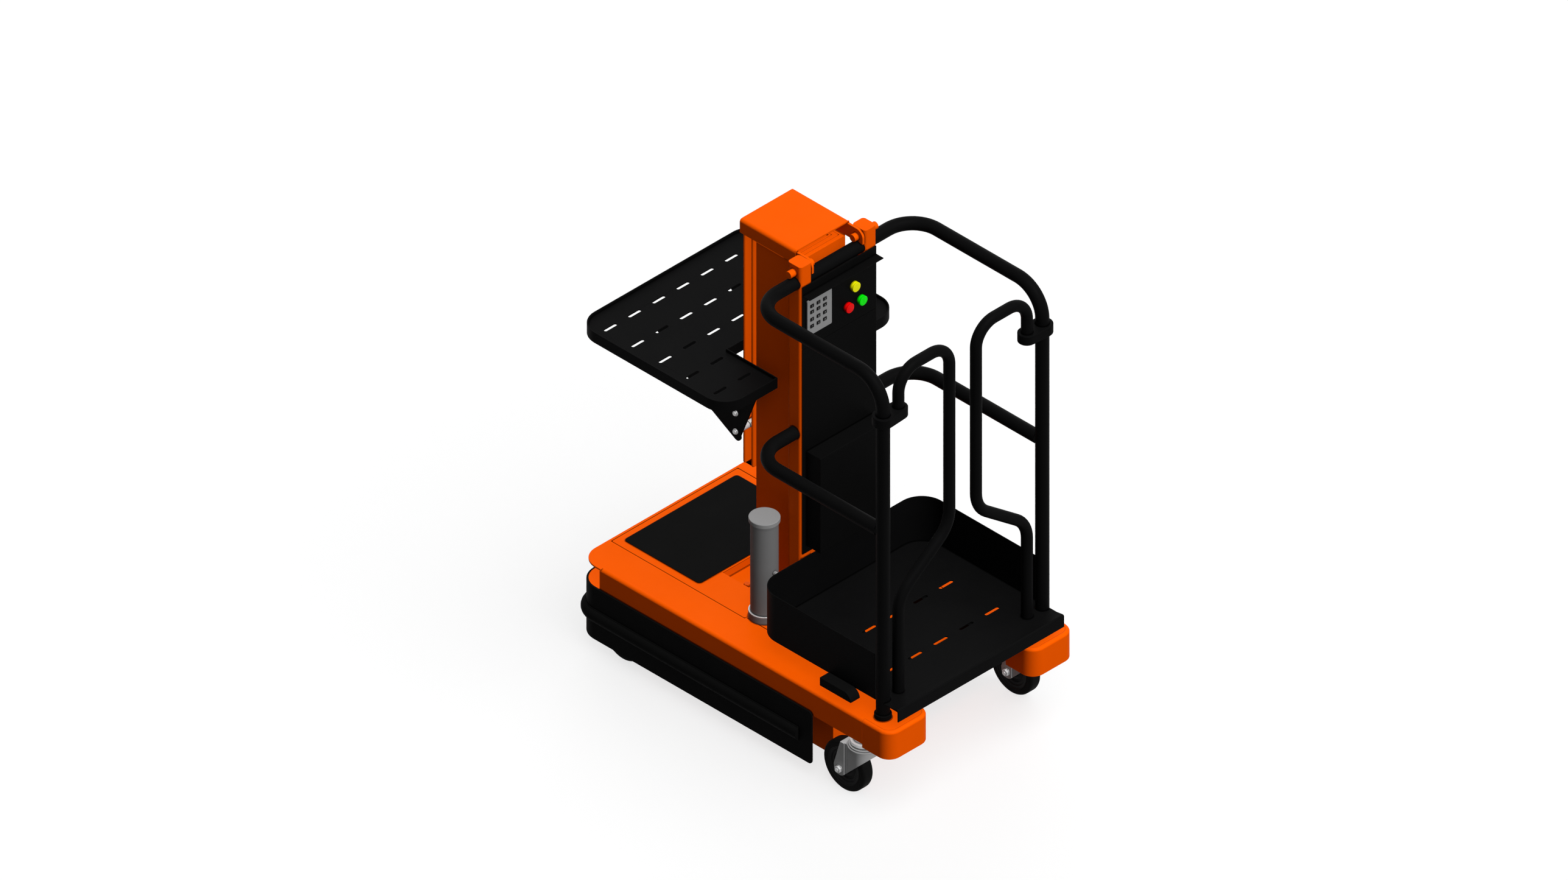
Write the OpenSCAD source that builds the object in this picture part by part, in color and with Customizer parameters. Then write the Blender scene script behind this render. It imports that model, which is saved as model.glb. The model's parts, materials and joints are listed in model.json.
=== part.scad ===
// Manual stock picker: a push-around chassis with a telescopic lift mast, an operator's cage with
// two swing gates, and a load tray behind the mast. Millimetres, +Z up, +X to the operator's right.
// Stations along Y are measured from the entry posts towards the load end.

/* [Chassis] */
// Width of the deck over its side rails
chassis_w = 728; // [700:4:760]
// Height of the deck above the floor
deck_z = 288; // [284:2:292]
// Height of the side rails
rail_h = 80; // [70:2:84]
// Width of a side rail
rail_w = 116; // [100:2:124]
// Width of a fork arm at the operator's end
arm_w = 167; // [150:1:180]
// Thickness of the deck plates
deck_t = 5; // [4:1:8]
// Radius along the deck's top edge
edge_r = 9; // [4:1:12]
// Radius of the load-end corners in plan
end_r = 63; // [40:1:80]
// Wall of the corner pads
pad_t = 12; // [8:1:14]
// Radius of the corner pads in plan
pad_r = 40; // [30:1:48]
// Depth of the corner pads below the rails
pad_drop = 12; // [6:1:14]
// Station of the fork arm tips
tip_y = -77; // [-90:1:-70]
// Station where a corner pad ends
pad_end_y = 29; // [20:1:60]
// Station where the deck between the arms starts
deck_front_y = 143; // [130:1:150]
// Distance of the battery cover's front edge behind the column's face
cover_set = 48; // [35:1:60]
// Length of the deck behind the side rails
end_l = 80; // [69:1:89]
// Station where the deck ends
deck_end_y = 1134; // [1120:1:1145]
// Depth of the lower end plate's top face below the deck
end_plate_drop = 68; // [58:1:72]
// Distance of the low pan's sides from the deck's sides
pan_inset = 64; // [62:1:79]
// Height of the pan's underside
pan_z = 50; // [45:1:70]
// Station where the pan starts
pan_front_y = 205; // [204:1:230]
// Sheet thickness of the pan
pan_t = 4; // [3:1:6]
// Distance of the deck mat from the deck's end
mat_end = 31; // [27:1:60]
// Distance of the deck mat from the side rails
mat_side = 27; // [18:1:48]
// Thickness of the deck mat
mat_t = 3; // [2:0.5:5]

/* [Skirt] */
// Thickness of the skirt
skirt_t = 6; // [4:1:8]
// Height of the skirt's lower edge
skirt_low_z = 45; // [35:1:70]
// Depth of the skirt's upper edge below the deck
skirt_drop = 68; // [48:1:74]
// Station where the skirt starts
skirt_front_y = 220; // [206:1:240]
// Distance of the bumper's front end behind the skirt's
bumper_set = 49; // [35:1:80]
// Height of the bumper's middle
bumper_z = 127; // [110:1:145]
// Height of the bumper strip
bumper_h = 40; // [30:1:50]
// Distance that the bumper stands out
bumper_out = 16; // [12:1:18]

/* [Wheels] */
// Diameter of all four wheels
wheel_d = 160; // [156:2:164]
// Width of the wheels
wheel_w = 40; // [36:1:44]
// Distance of the castor centres from the deck's sides
castor_inset = 37; // [34:1:42]
// Station of the castor swivel axis
swivel_y = 57; // [55:1:60]
// Trail of the castor wheels behind the swivel axis
trail = 62; // [60:1:66]
// Distance of the fixed wheels from the deck's sides
fixed_inset = 45; // [42:1:49]
// Distance of the fixed wheels from the deck's end
fixed_from_end = 143; // [134:1:170]
// Diameter of the wheel axles
axle_d = 12; // [10:1:16]
// Sheet thickness of the wheel forks
fork_t = 4; // [3:0.5:5]

/* [Mast] */
// Width of the mast column
column_w = 200; // [190:2:204]
// Depth of the mast column
column_d = 154; // [146:2:156]
// Station of the column's front face
column_y = 555; // [552:1:560]
// Height of the column's top
column_top_z = 1435; // [1425:1:1440]
// Wall of the mast sections
section_t = 6; // [4:0.5:7]
// Gap between two mast sections, which the slide pads fill
section_gap = 8; // [6:0.5:9]
// Height of the slide pads
pad_h = 60; // [40:5:90]
// Distance from the column's side to the side of the mast well
well_side = 35; // [30:1:38]
// Distance from the column's rear face to the end of the mast well
well_rear = 94; // [86:1:97]
// Depth of the mast well below the deck
well_depth = 29; // [20:1:35]
// Thickness of the column's foot plate
foot_t = 10; // [8:1:14]
// Diameter of the lift ram's barrel
barrel_d = 76; // [70:1:80]
// Diameter of the lower plunger
plunger_low_d = 60; // [56:1:62]
// Diameter of the upper plunger
plunger_top_d = 44; // [38:1:46]

/* [Power unit] */
// Diameter of the power unit's tank
tank_d = 79; // [70:1:84]
// Distance of the tank from the deck's side
tank_inset = 163; // [158:1:168]
// Distance of the tank behind the column's face
tank_set = 18; // [5:1:25]
// Height of the tank above the deck, without its lid
tank_h = 324; // [280:2:360]
// Thickness of the lid
lid_t = 13; // [8:1:16]
// Height of the base flange
flange_h = 24; // [16:1:30]

/* [Hat and tray rails] */
// Distance that the hat stands out beside the column
hat_side_gap = 6; // [5:1:8]
// Sheet thickness of the hat
hat_t = 3; // [2:0.5:3]
// Height of the hat's top above the column
hat_rise = 51; // [45:1:65]
// Depth of the hat's sides
hat_side = 45; // [40:1:48]
// Distance that the hat stands out in front of the column
hat_nose = 8; // [6:1:10]
// Distance that the hat stands out behind the column
hat_tail = 56; // [53:1:63]
// Distance of the tray rails behind the column
rail_back = 8.5; // [4:0.5:10]
// Length of a tray rail below the lower roller
rail_tail = 138; // [125:1:160]
// Depth of a tray rail, front to back
channel_d = 42; // [40:1:46]
// Flange thickness of a tray rail
channel_t = 10; // [8:1:11]
// Web thickness of a tray rail
web_t = 6; // [4:1:8]

/* [Uprights and console] */
// Width of an upright
upright_w = 46; // [40:1:50]
// Depth of an upright
upright_d = 53; // [48:1:56]
// Distance between the uprights and the column
upright_gap = 18.5; // [17:0.5:22]
// Depth of an upright's top below the hat's top
upright_drop = 6; // [2:1:10]
// Wall of an upright
upright_t = 4; // [3:0.5:5]
// Corner radius of an upright
upright_r = 10; // [6:1:12]
// Diameter of the hanger pins
pin_d = 23; // [18:1:26]
// Length that a hanger pin stands out beside its upright
pin_out = 22; // [15:1:28]
// Length that a hanger pin stands out inside
pin_in = 16; // [10:1:22]
// Distance of the console's edges from the uprights' outer sides
console_edge = 5; // [1:1:9]
// Sheet thickness of the console
console_t = 3; // [2:0.5:3]
// Depth of the console's top edge below the tops of the uprights
console_drop = 67; // [60:1:75]
// Height of the console's upper panel
head_panel_h = 210; // [205:1:225]
// Height of the console's lower edge above the platform
console_rise = 164; // [157:1:182]
// Depth of the visor
visor_d = 28; // [20:1:32]
// Depth of the visor below the console's top edge
visor_drop = 27; // [23:1:35]
// Width of the box on the lower panel
front_box_w = 260; // [240:2:270]
// Depth of the box on the lower panel
front_box_d = 55; // [40:1:60]
// Height of the box on the lower panel
front_box_h = 320; // [280:2:330]
// Height of that box's underside above the lower panel's edge
front_box_rise = 23; // [18:1:38]
// Diameter of the push-buttons
button_d = 30; // [26:1:34]
// Distance that a push-button stands out
button_out = 12.5; // [10:0.5:16]
// Width of the keypad plate
keypad_w = 95; // [90:1:98]
// Height of the keypad plate
keypad_h = 118; // [110:1:120]
// Thickness of the keypad plate
keypad_t = 5; // [4:0.5:6]
// Width of a key
key_w = 13; // [10:1:16]
// Height of a key
key_h = 10; // [8:1:13]

/* [Platform] */
// Height of the platform floor above the deck
floor_rise = 60; // [58:1:64]
// Distance of the platform's sides from the deck's sides
floor_inset = 39.5; // [38:0.5:42]
// Sheet thickness of the platform floor
floor_t = 4; // [3:1:5]
// Distance of the floor's front flange behind the fork tips
flange_set = 4; // [1:1:7]
// Depth of the front flange
flange_d = 41; // [30:1:44]
// Length of the raised nosing
nosing_l = 29; // [20:1:34]
// Height of the raised nosing
nosing_h = 4; // [2:1:5]
// Height of the toe board
toe_h = 150; // [100:2:160]
// Sheet thickness of the toe board
toe_t = 3; // [2:0.5:4]
// Radius of the toe board's rear corners
toe_r = 75; // [50:1:90]
// Length of the floor slots
floor_slot_l = 52; // [40:1:60]
// Width of the floor slots
floor_slot_w = 10; // [6:1:12]

/* [Guard rails] */
// Diameter of the guard rail tube
rail_d = 40; // [38:0.5:42]
// Wall of the guard rail tube
tube_t = 3; // [2:0.5:4]
// Distance of the posts from the platform's sides
post_inset = 13.5; // [12:0.5:16]
// Depth of the top rail's middle below the tops of the uprights
rail_drop = 60; // [56:1:66]
// Height of the mid rail above the platform
mid_z = 567; // [450:1:600]
// Distance of the rail's cross bar behind the uprights' front
bar_set = 23.5; // [22:0.5:27]
// Bend radius of the rail
rail_bend = 95; // [80:1:110]
// Diameter of the post feet
post_foot_d = 50; // [46:1:56]
// Height of the post feet
post_foot_h = 16; // [12:1:20]

/* [Gates] */
// Diameter of the gate tube
gate_d = 34; // [30:0.5:36]
// Distance from a post to its gate's pivot
gate_offset = 60; // [56:1:64]
// Distance of a shut gate's outer leg from the middle
gate_meet = 52; // [46:1:70]
// Height of a gate's top bar above the top rail
gate_rise = 3; // [-20:1:20]
// Height above the platform where the outer leg turns in
gate_knee = 464; // [440:1:520]
// Bend radius at the top of a gate
gate_bend = 70; // [55:1:80]
// Bend radius of the diagonal
knee_bend = 100; // [60:1:120]
// Depth of a clamp's top below the top rail's middle
clamp_drop = 111; // [107:1:140]
// Height of the clamps
clamp_h = 30; // [24:1:40]
// Wall of a clamp round its tubes
clamp_t = 11; // [8:1:14]

/* [Load tray] */
// Distance of the tray's sides from the deck's sides
tray_inset = 22; // [4:1:34]
// Distance of the tray's front edge behind the column's face
tray_set = 31; // [20:1:40]
// Length of the load tray
tray_l = 582; // [560:1:610]
// Height of the tray's rim
tray_z = 1054; // [1010:1:1090]
// Height of the tray's rim sheet
tray_lip = 35; // [28:1:45]
// Depth of the tray's floor below the rim
tray_depth = 9; // [6:1:12]
// Sheet thickness of the tray
tray_t = 4; // [3:0.5:5]
// Radius of the tray's corners
tray_r = 72; // [50:1:80]
// Distance from the column's side to the tray's cut-out
cut_side = 36; // [34:1:38]
// Distance from the column's rear face to the end of the cut-out
cut_rear = 72; // [67:1:81]
// Distance from the middle of the last slot to the tray's side
slot_margin = 58.8; // [52:0.2:70]
// Length of the tray slots
slot_l = 47; // [36:1:52]
// Width of the tray slots
slot_w = 10; // [6:1:12]
// Thickness of the tray brackets
bracket_t = 6; // [4:1:8]
// Depth of the lower roller below the tray's rim
roller_drop = 252; // [240:1:260]
// Distance between the two rollers of a bracket
roller_pitch = 62; // [50:1:70]

/* [Foot pedal] */
// Length of the pedal
pedal_l = 122; // [100:1:125]
// Width of the pedal
pedal_w = 37; // [30:1:40]
// Height of the pedal
pedal_h = 28; // [24:1:30]
// Station of the pedal's rear end
pedal_rear_y = 196; // [190:1:205]
// Diameter of the pedal's pivot pin
pedal_pin_d = 10; // [8:1:12]

/* [Hidden] */
$fn = 64;
orange = [1, 0.37, 0];
black = [0.07, 0.07, 0.07];
rubber = [0.04, 0.04, 0.04];
grey = [0.6, 0.6, 0.6];
steel = [0.75, 0.75, 0.75];
nylon = [0.9, 0.9, 0.85];
brass = [0.8, 0.65, 0.3];

// Radial clearance of shafts and pins that turn
run_gap = 0.05;
// Clearance of a slide pad against its section
slide_gap = 0.3;
// Clearance of parts that pass through one another without moving
fit_gap = 0.1;
// Overlap of a cutting tool past a face
past = 1;

// Load tray's place, which sets the machine's middle
tray_front_y = column_y + tray_set;
tray_rear_y = tray_front_y + tray_l;
cut_end_y = column_y + column_d + cut_rear;
mid_y = (tip_y + tray_rear_y) / 2;

// Chassis
half_w = chassis_w / 2;
rail_z0 = deck_z - rail_h;
rail_x = half_w - rail_w;
arm_x = half_w - arm_w;
rail_end_y = deck_end_y - end_l;
end_plate_z = deck_z - end_plate_drop;
cover_front_y = column_y + cover_set;
arm_tip_y = tip_y + pad_t;
arm_r = pad_r - pad_t;
cover_end_y = deck_end_y - 8;
cover_gap = 1.5;
cover_r = 6;
ledge_w = 20;
well_x = column_w / 2 + well_side;
well_end_y = column_y + column_d + well_rear;
well_z = deck_z - well_depth;
well_front_y = column_y - 10;
beam_t = 8;
battery_gap = 5;
battery_side = 92;
mat_gap = 4;
mat_r = 11;
mat_w = 2 * (rail_x - mat_side);
mat_l = deck_end_y - mat_end - well_end_y - mat_gap;
castor_x = half_w - castor_inset;
fixed_x = half_w - fixed_inset;
fixed_y = deck_end_y - fixed_from_end;
pan_x = half_w - pan_inset;
pan_rear_y = fixed_y - 111;
pan_rear_x = fixed_x - wheel_w / 2 - 37;
tank_x = half_w - tank_inset;
tank_y = column_y + tank_set;

// Skirt and bumper
skirt_x = half_w + skirt_t;
skirt_end_y = deck_end_y + skirt_t;
skirt_r = end_r + skirt_t;
skirt_corner = 12;
skirt_top_z = deck_z - skirt_drop;
bumper_front_y = skirt_front_y + bumper_set;
bumper_r = (bumper_h * bumper_h / 4 + bumper_out * bumper_out) / (2 * bumper_out);

// Wheels
wheel_r = wheel_d / 2;
bore_d = axle_d + 2 * run_gap;
wheel_edge = 5;
hub_r = 24;
fork_w = 70;
fork_top_z = rail_z0 - 36;
fork_head_r = 47;
fork_end_r = 22;
groove_y = 37;
groove_w = 15;
groove_t = 3;
kingpin_d = 16;
plate_h = 6;
castor_y = swivel_y + trail;
castor_plate_l = 100;
castor_plate_x0 = castor_x - 50;
castor_plate_x1 = half_w - pad_t - 1;
bolt_d = 10;
fixed_plate_l = 120;

// Mast sections, nested with a gap for the slide pads
step_in = section_t + section_gap;
middle_w = column_w - 2 * step_in;
middle_d = column_d - 2 * step_in;
inner_w = middle_w - 2 * step_in;
inner_d = middle_d - 2 * step_in;
mast_y = column_y + column_d / 2;
column_z = well_z;
section_low_z = well_z + 25;
section_r = 6;
lip_t = 4;
barrel_t = (barrel_d - plunger_low_d) / 2 - 2;
ram_low_z = well_z + 12;
barrel_top_z = column_top_z - 125;
plunger_low_top_z = column_top_z - 70;
gland_h = 40;

// Hat, hangers and tray rails
hat_r = 10;
hat_w = column_w + 2 * hat_side_gap;
hat_top_z = column_top_z + hat_rise;
hat_front_y = column_y - hat_nose;
hat_rear_y = column_y + column_d + hat_tail;
hat_in_x = hat_w / 2 - hat_t;
hat_in_z = hat_top_z - hat_t;
hat_in_r = 2.5;
channel_y = column_y + column_d + rail_back;
roller_z = tray_z - roller_drop;
rail_low_z = roller_z - rail_tail;
channel_x = column_w / 2;
channel_web_x = channel_x - 38;
hanger_t = 8;
hanger_low_z = column_top_z + 2;
hanger_top_z = hat_in_z - hat_in_r;
hanger_rear_y = hat_front_y + 50;

// Uprights and console
upright_x0 = hat_in_x;
upright_x1 = upright_x0 + upright_w;
upright_x = upright_x0 + upright_w / 2;
upright_low_z = deck_z + 12;
upright_top_z = hat_top_z - upright_drop;
upright_y = column_y - upright_gap - upright_d;
upright_mid_y = upright_y + upright_d / 2;
pin_y = upright_mid_y;
pin_z = upright_top_z - 25;
floor_z = deck_z + floor_rise;
console_y = upright_y - console_t;
console_w = 2 * (upright_x1 - console_edge);
console_top_z = upright_top_z - console_drop;
console_seam_z = console_top_z - head_panel_h;
console_low_z = floor_z + console_rise;
visor_z = console_top_z - visor_drop;
front_box_z = console_low_z + front_box_rise;
seam_gap = 1;
box_x = upright_x0 - 2;
box_d = 46;
box_z0 = console_seam_z + 12;
box_z1 = visor_z - 1;
button_stroke = 4;
// Middle of each push-button as [X, Z]: yellow, green, red
yellow_at = [55.5, console_seam_z + 119];
green_at = [box_x - 3.5 - button_d / 2, console_seam_z + 60];
red_at = [30.5, console_seam_z + 60];
keypad_x0 = -console_w / 2 + 14;
keypad_z0 = console_seam_z + 41;
keypad_y = console_y - keypad_t;
key_proud = 1.5;
// Middles of the keys from the plate's left edge and from its lower edge
key_columns_x = [17.5, 42.5, 67.5];
key_rows_z = [28, 51, 76, 96];
key_web = 2;
key_gap = 0.3;

// Platform and guard rails
floor_x = half_w - floor_inset;
flange_y = tip_y + flange_set;
post_x = floor_x - post_inset;
floor_rear_y = upright_y;
arm_tube = 40;
arm_tube_w = 30;
slot_rows = [86, 265];
slot_apart = 100;
post_low_z = deck_z + post_foot_h + 0.5;
bar_y = upright_y + bar_set;
rail_mid_z = upright_top_z - rail_drop;
mid_rail_z = floor_z + mid_z;
gate_x = post_x - gate_offset;
gate_reach = gate_x - gate_meet;
post_clamp_r = rail_d / 2 + clamp_t;
gate_clamp_r = gate_d / 2 + clamp_t - 1;
clamp_z1 = rail_mid_z - clamp_drop;
gate_top = rail_mid_z + gate_rise - floor_z;
clamp_z0 = clamp_z1 - clamp_h;
spigot_h = 25;
// The diagonal lies at the angle of a 3-4-5 triangle
knee_angle = 53.1301;
gate_hip = gate_knee - 0.75 * gate_reach;
knee_tangent = knee_bend * tan(knee_angle / 2);
diagonal_l = gate_reach / sin(knee_angle);

// Load tray
tray_x = half_w - tray_inset;
cut_x = column_w / 2 + cut_side;
tray_floor_z = tray_z - tray_depth;
slot_pitch = (tray_x - slot_margin) / 3;
slot_first_y = tray_rear_y - 76;
slot_step_y = (tray_l - 154) / 4;
bracket_x = cut_x + tray_t + 0.3;
roller_y = channel_y + channel_d / 2;
roller_d = channel_d - 2 * channel_t - 0.6;
roller_w = 26;
tray_bolt_d = 12;
bracket_end = 100;

// Pedal
pedal_x = floor_x + 1.5;
pedal_top_z = floor_z + 2;
pedal_pin_y = pedal_rear_y - 21;
pedal_pin_z = pedal_top_z - pedal_h / 2;
pedal_lug = 6;

// Moves a piece from the entry posts' origin to the machine's middle
module placed() {
    translate([0, -mid_y, 0]) children();
}

// A piece on the right and its mirror image on the left
module pair() {
    children();
    mirror([1, 0, 0]) children();
}

// A box between its lowest and highest corners
module block(low, high) {
    translate(low) cube(high - low);
}

// A plan outline raised between two heights
module along_z(z0, z1) {
    translate([0, 0, z0]) linear_extrude(z1 - z0) children();
}

// A side view, drawn as Y and Z, stretched from x0 to x1
module along_x(x0, x1) {
    translate([x0, 0, 0]) rotate([90, 0, 90]) linear_extrude(x1 - x0) children();
}

// A front view, drawn as X and Z, stretched from y0 to y1
module along_y(y0, y1) {
    translate([0, y1, 0]) rotate([90, 0, 0]) linear_extrude(y1 - y0) children();
}

// A round bar along X
module bar_x(d, x0, x1, y, z) {
    translate([x0, y, z]) rotate([0, 90, 0]) cylinder(d = d, h = x1 - x0);
}

// A round bar along Y
module bar_y(d, y0, y1, x, z) {
    translate([x, y1, z]) rotate([90, 0, 0]) cylinder(d = d, h = y1 - y0);
}

// A rectangle between two corners
module area(low, high) {
    translate(low) square(high - low);
}

// A rectangle with four round corners between two corners
module round_area(low, high, r) {
    area(low + [r, 0], high - [r, 0]);
    area(low + [0, r], high - [0, r]);
    for (x = [low[0] + r, high[0] - r])
        for (y = [low[1] + r, high[1] - r])
            translate([x, y]) circle(r);
}

// A slot with round ends, along the first axis
module slot_area(l, w) {
    square([l - w, w], center = true);
    for (side = [-1, 1]) translate([side * (l - w) / 2, 0]) circle(d = w);
}

// The wall of a tube in section
module ring(d, wall) {
    difference() {
        circle(d = d);
        circle(d = d - 2 * wall);
    }
}

// A quarter bend of tube that turns from +Z towards +X
module quarter_bend(bend, d, wall) {
    translate([bend, 0, 0]) rotate([90, 0, 180])
        rotate_extrude(angle = 90) translate([bend, 0]) ring(d, wall);
}

// A bent tube that starts along +Z. A step is [straight length, bend radius, bend angle, roll].
// A bend of less than a quarter is a quarter bend cut off square to the next run
module tube_route(steps, d, wall, i = 0) {
    $fn = 40;
    run = steps[i][0];
    bend = steps[i][1];
    turn = steps[i][2];
    c = round(cos(turn) * 10000) / 10000;
    s = round(sin(turn) * 10000) / 10000;
    next = [[c, 0, s, bend * (1 - c)], [0, 1, 0, 0], [-s, 0, c, bend * s], [0, 0, 0, 1]];
    linear_extrude(run) ring(d, wall);
    if (turn > 0)
        translate([0, 0, run]) rotate([0, 0, steps[i][3]]) {
            if (turn == 90) quarter_bend(bend, d, wall);
            else intersection() {
                quarter_bend(bend, d, wall);
                multmatrix(next) block([-2 * bend, -d, -2 * bend], [2 * bend, d, 0]);
            }
            multmatrix(next) tube_route(steps, d, wall, i + 1);
        }
}

// A rectangular mast section with round corners
module section_tube(w, d, z0, z1) {
    along_z(z0, z1) translate([0, mast_y]) difference() {
        round_area([-w / 2, -d / 2], [w / 2, d / 2], section_r);
        square([w - 2 * section_t, d - 2 * section_t], center = true);
    }
}

// A lip inside the top of a mast section, over its slide pads
module section_lip(w, d) {
    reach = 2 * (section_t + section_gap - slide_gap);
    along_z(column_top_z - lip_t, column_top_z) translate([0, mast_y]) difference() {
        square([w - section_t, d - section_t], center = true);
        square([w - reach, d - reach], center = true);
    }
}

// A hexagon bolt head across its flats
module hex_head(across, h) {
    cylinder(d = across / cos(30), h = h, $fn = 6);
}

// Section of a side rail as X and Z, with its outer top edge rounded
module rail_section(x0) {
    difference() {
        area([x0, rail_z0], [half_w, deck_z]);
        area([half_w - edge_r, deck_z - edge_r], [half_w + past, deck_z + past]);
    }
    translate([half_w - edge_r, deck_z - edge_r]) circle(edge_r);
}

// Plan outline of a fork arm's tip, set in from the pad's outer face
module tip_outline(inset, r) {
    area([arm_x + inset, tip_y + inset + r], [half_w - inset, pad_end_y]);
    area([arm_x + inset + r, tip_y + inset], [half_w - inset - r, pad_end_y]);
    for (x = [arm_x + inset + r, half_w - inset - r])
        translate([x, tip_y + inset + r]) circle(r);
}

// Plan outline of the load end, grown by the given distance
module end_outline(grow, y0) {
    x = half_w + grow;
    y = deck_end_y + grow;
    r = end_r + grow;
    area([-x, y0], [x, y - r]);
    area([-x + r, y0], [x - r, y]);
    for (side = [-1, 1]) translate([side * (x - r), y - r]) intersection() {
        circle(r);
        area([-r, 0], [r, r]);
    }
}

module fork_arm() {
    difference() {
        union() {
            along_y(pad_end_y, deck_front_y + deck_t) rail_section(arm_x);
            along_z(rail_z0, deck_z) tip_outline(pad_t, arm_r);
        }
        block([arm_x + pad_t + deck_t, arm_tip_y + arm_r, rail_z0 + deck_t],
              [half_w - pad_t - deck_t, deck_front_y, deck_z - deck_t]);
    }
}

module side_rail() {
    difference() {
        along_y(deck_front_y, rail_end_y) rail_section(rail_x);
        block([rail_x + deck_t, deck_front_y + deck_t, rail_z0 + deck_t],
              [half_w - deck_t, rail_end_y - deck_t, deck_z - deck_t]);
    }
}

// Recess in the deck that takes the mast's foot, with its walls and cross beams
module mast_well() {
    block([-well_x - deck_t, well_front_y, well_z - deck_t],
          [well_x + deck_t, well_end_y, well_z]);
    for (side = [-1, 1])
        translate([side * (well_x + deck_t / 2) - deck_t / 2, well_front_y, well_z - deck_t])
            cube([deck_t, well_end_y - well_front_y, well_depth]);
    for (y = [well_front_y - beam_t, well_end_y])
        block([-rail_x, y, rail_z0], [rail_x, y + beam_t, deck_z - deck_t]);
}

// Ledges that carry the battery cover
module cover_ledges() {
    z0 = deck_z - 2 * deck_t;
    z1 = deck_z - deck_t;
    pair() block([rail_x - ledge_w, cover_front_y - ledge_w, z0], [rail_x, rail_end_y, z1]);
    block([-rail_x - ledge_w, cover_end_y - ledge_w, z0], [rail_x + ledge_w, deck_end_y - deck_t, z1]);
    pair() block([well_x, cover_front_y - ledge_w, z0], [rail_x, cover_front_y + ledge_w, z1]);
}

module deck_frame() {
    color(orange) placed() {
        pair() fork_arm();
        pair() side_rail();
        // Front wall between the arms, and the plate from there to the battery cover
        block([-arm_x, deck_front_y, rail_z0], [arm_x, deck_front_y + deck_t, deck_z]);
        difference() {
            block([-rail_x, deck_front_y, deck_z - deck_t], [rail_x, cover_front_y, deck_z]);
            block([-well_x, well_front_y, deck_z - deck_t - past],
                  [well_x, cover_front_y + past, deck_z + past]);
        }
        mast_well();
        cover_ledges();
        // End wall, and the two plates of the recess at the load end
        block([-rail_x, rail_end_y - deck_t, rail_z0], [rail_x, rail_end_y, deck_z - deck_t]);
        along_z(end_plate_z - deck_t, end_plate_z) end_outline(0, rail_end_y - deck_t);
        difference() {
            along_z(deck_z - deck_t, deck_z) end_outline(0, rail_end_y - deck_t);
            block([-rail_x, rail_end_y - deck_t - past, deck_z - deck_t - past],
                  [rail_x, cover_end_y, deck_z + past]);
        }
    }
}

// Plan outline of the pan, set in by the given distance
module pan_outline(inset) {
    area([-pan_x + inset, pan_front_y + inset], [pan_x - inset, pan_rear_y - inset]);
    area([-pan_rear_x + inset, pan_rear_y - 2 * inset],
         [pan_rear_x - inset, rail_end_y - deck_t - inset]);
}

module base_pan() {
    color(orange) placed() difference() {
        along_z(pan_z, rail_z0) pan_outline(0);
        along_z(pan_z + pan_t, rail_z0 + past) pan_outline(pan_t);
    }
}

// One wrap-around pad at a fork tip, with its outer top edge rounded
module corner_pad() {
    z0 = rail_z0 - pad_drop;
    r = pad_r - edge_r;
    z = deck_z - edge_r;
    difference() {
        union() {
            along_z(z0, z) tip_outline(0, pad_r);
            along_z(z0, deck_z) tip_outline(edge_r, r);
            for (x = [arm_x + edge_r, half_w - edge_r])
                bar_y(2 * edge_r, tip_y + pad_r, pad_end_y, x, z);
            bar_x(2 * edge_r, arm_x + pad_r, half_w - pad_r, tip_y + edge_r, z);
            for (x = [arm_x + pad_r, half_w - pad_r])
                translate([x, tip_y + pad_r, z]) rotate_extrude() translate([r, 0]) circle(edge_r);
        }
        along_z(z0 - past, deck_z + past) {
            tip_outline(pad_t, arm_r);
            area([arm_x + pad_t, pad_end_y - past], [half_w - pad_t, pad_end_y + past]);
        }
    }
}

module corner_pads() {
    color(orange) placed() pair() corner_pad();
}

module deck_cover() {
    color(orange) placed() difference() {
        along_z(deck_z - deck_t, deck_z)
            round_area([-rail_x + cover_gap, cover_front_y + cover_gap],
                       [rail_x - cover_gap, cover_end_y - cover_gap], cover_r);
        block([-well_x, cover_front_y - past, deck_z - deck_t - past],
              [well_x, well_end_y, deck_z + past]);
    }
}

module deck_mat() {
    color(black) placed() along_z(deck_z, deck_z + mat_t)
        round_area([-mat_w / 2, well_end_y + mat_gap], [mat_w / 2, well_end_y + mat_gap + mat_l], mat_r);
}

module skirt() {
    color(black) placed() intersection() {
        along_z(skirt_low_z, skirt_top_z) difference() {
            end_outline(skirt_t, skirt_front_y);
            end_outline(0, skirt_front_y - past);
        }
        along_x(-skirt_x - past, skirt_x + past)
            round_area([skirt_front_y, skirt_low_z], [deck_end_y + 100, skirt_top_z], skirt_corner);
    }
}

// Half section of the bumper strip, drawn outwards from the skirt's face
module bumper_section() {
    intersection() {
        translate([bumper_out - bumper_r, 0]) circle(bumper_r);
        area([0, -bumper_h / 2], [bumper_out + past, bumper_h / 2]);
    }
}

module bumper() {
    corner_y = skirt_end_y - skirt_r;
    color(rubber) placed() {
        pair() {
            along_y(bumper_front_y, corner_y) translate([skirt_x, bumper_z]) bumper_section();
            translate([skirt_x - skirt_r, corner_y, bumper_z]) rotate_extrude(angle = 90)
                translate([skirt_r, 0]) bumper_section();
        }
        along_x(-skirt_x + skirt_r, skirt_x - skirt_r)
            translate([skirt_end_y, bumper_z]) bumper_section();
    }
}

module batteries() {
    color(rubber) placed() pair()
        block([battery_gap, well_end_y + beam_t + 3 * battery_gap, pan_z + pan_t],
              [pan_rear_x - battery_side, rail_end_y - deck_t - 3 * battery_gap, deck_z - 6 * battery_gap]);
}

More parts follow.
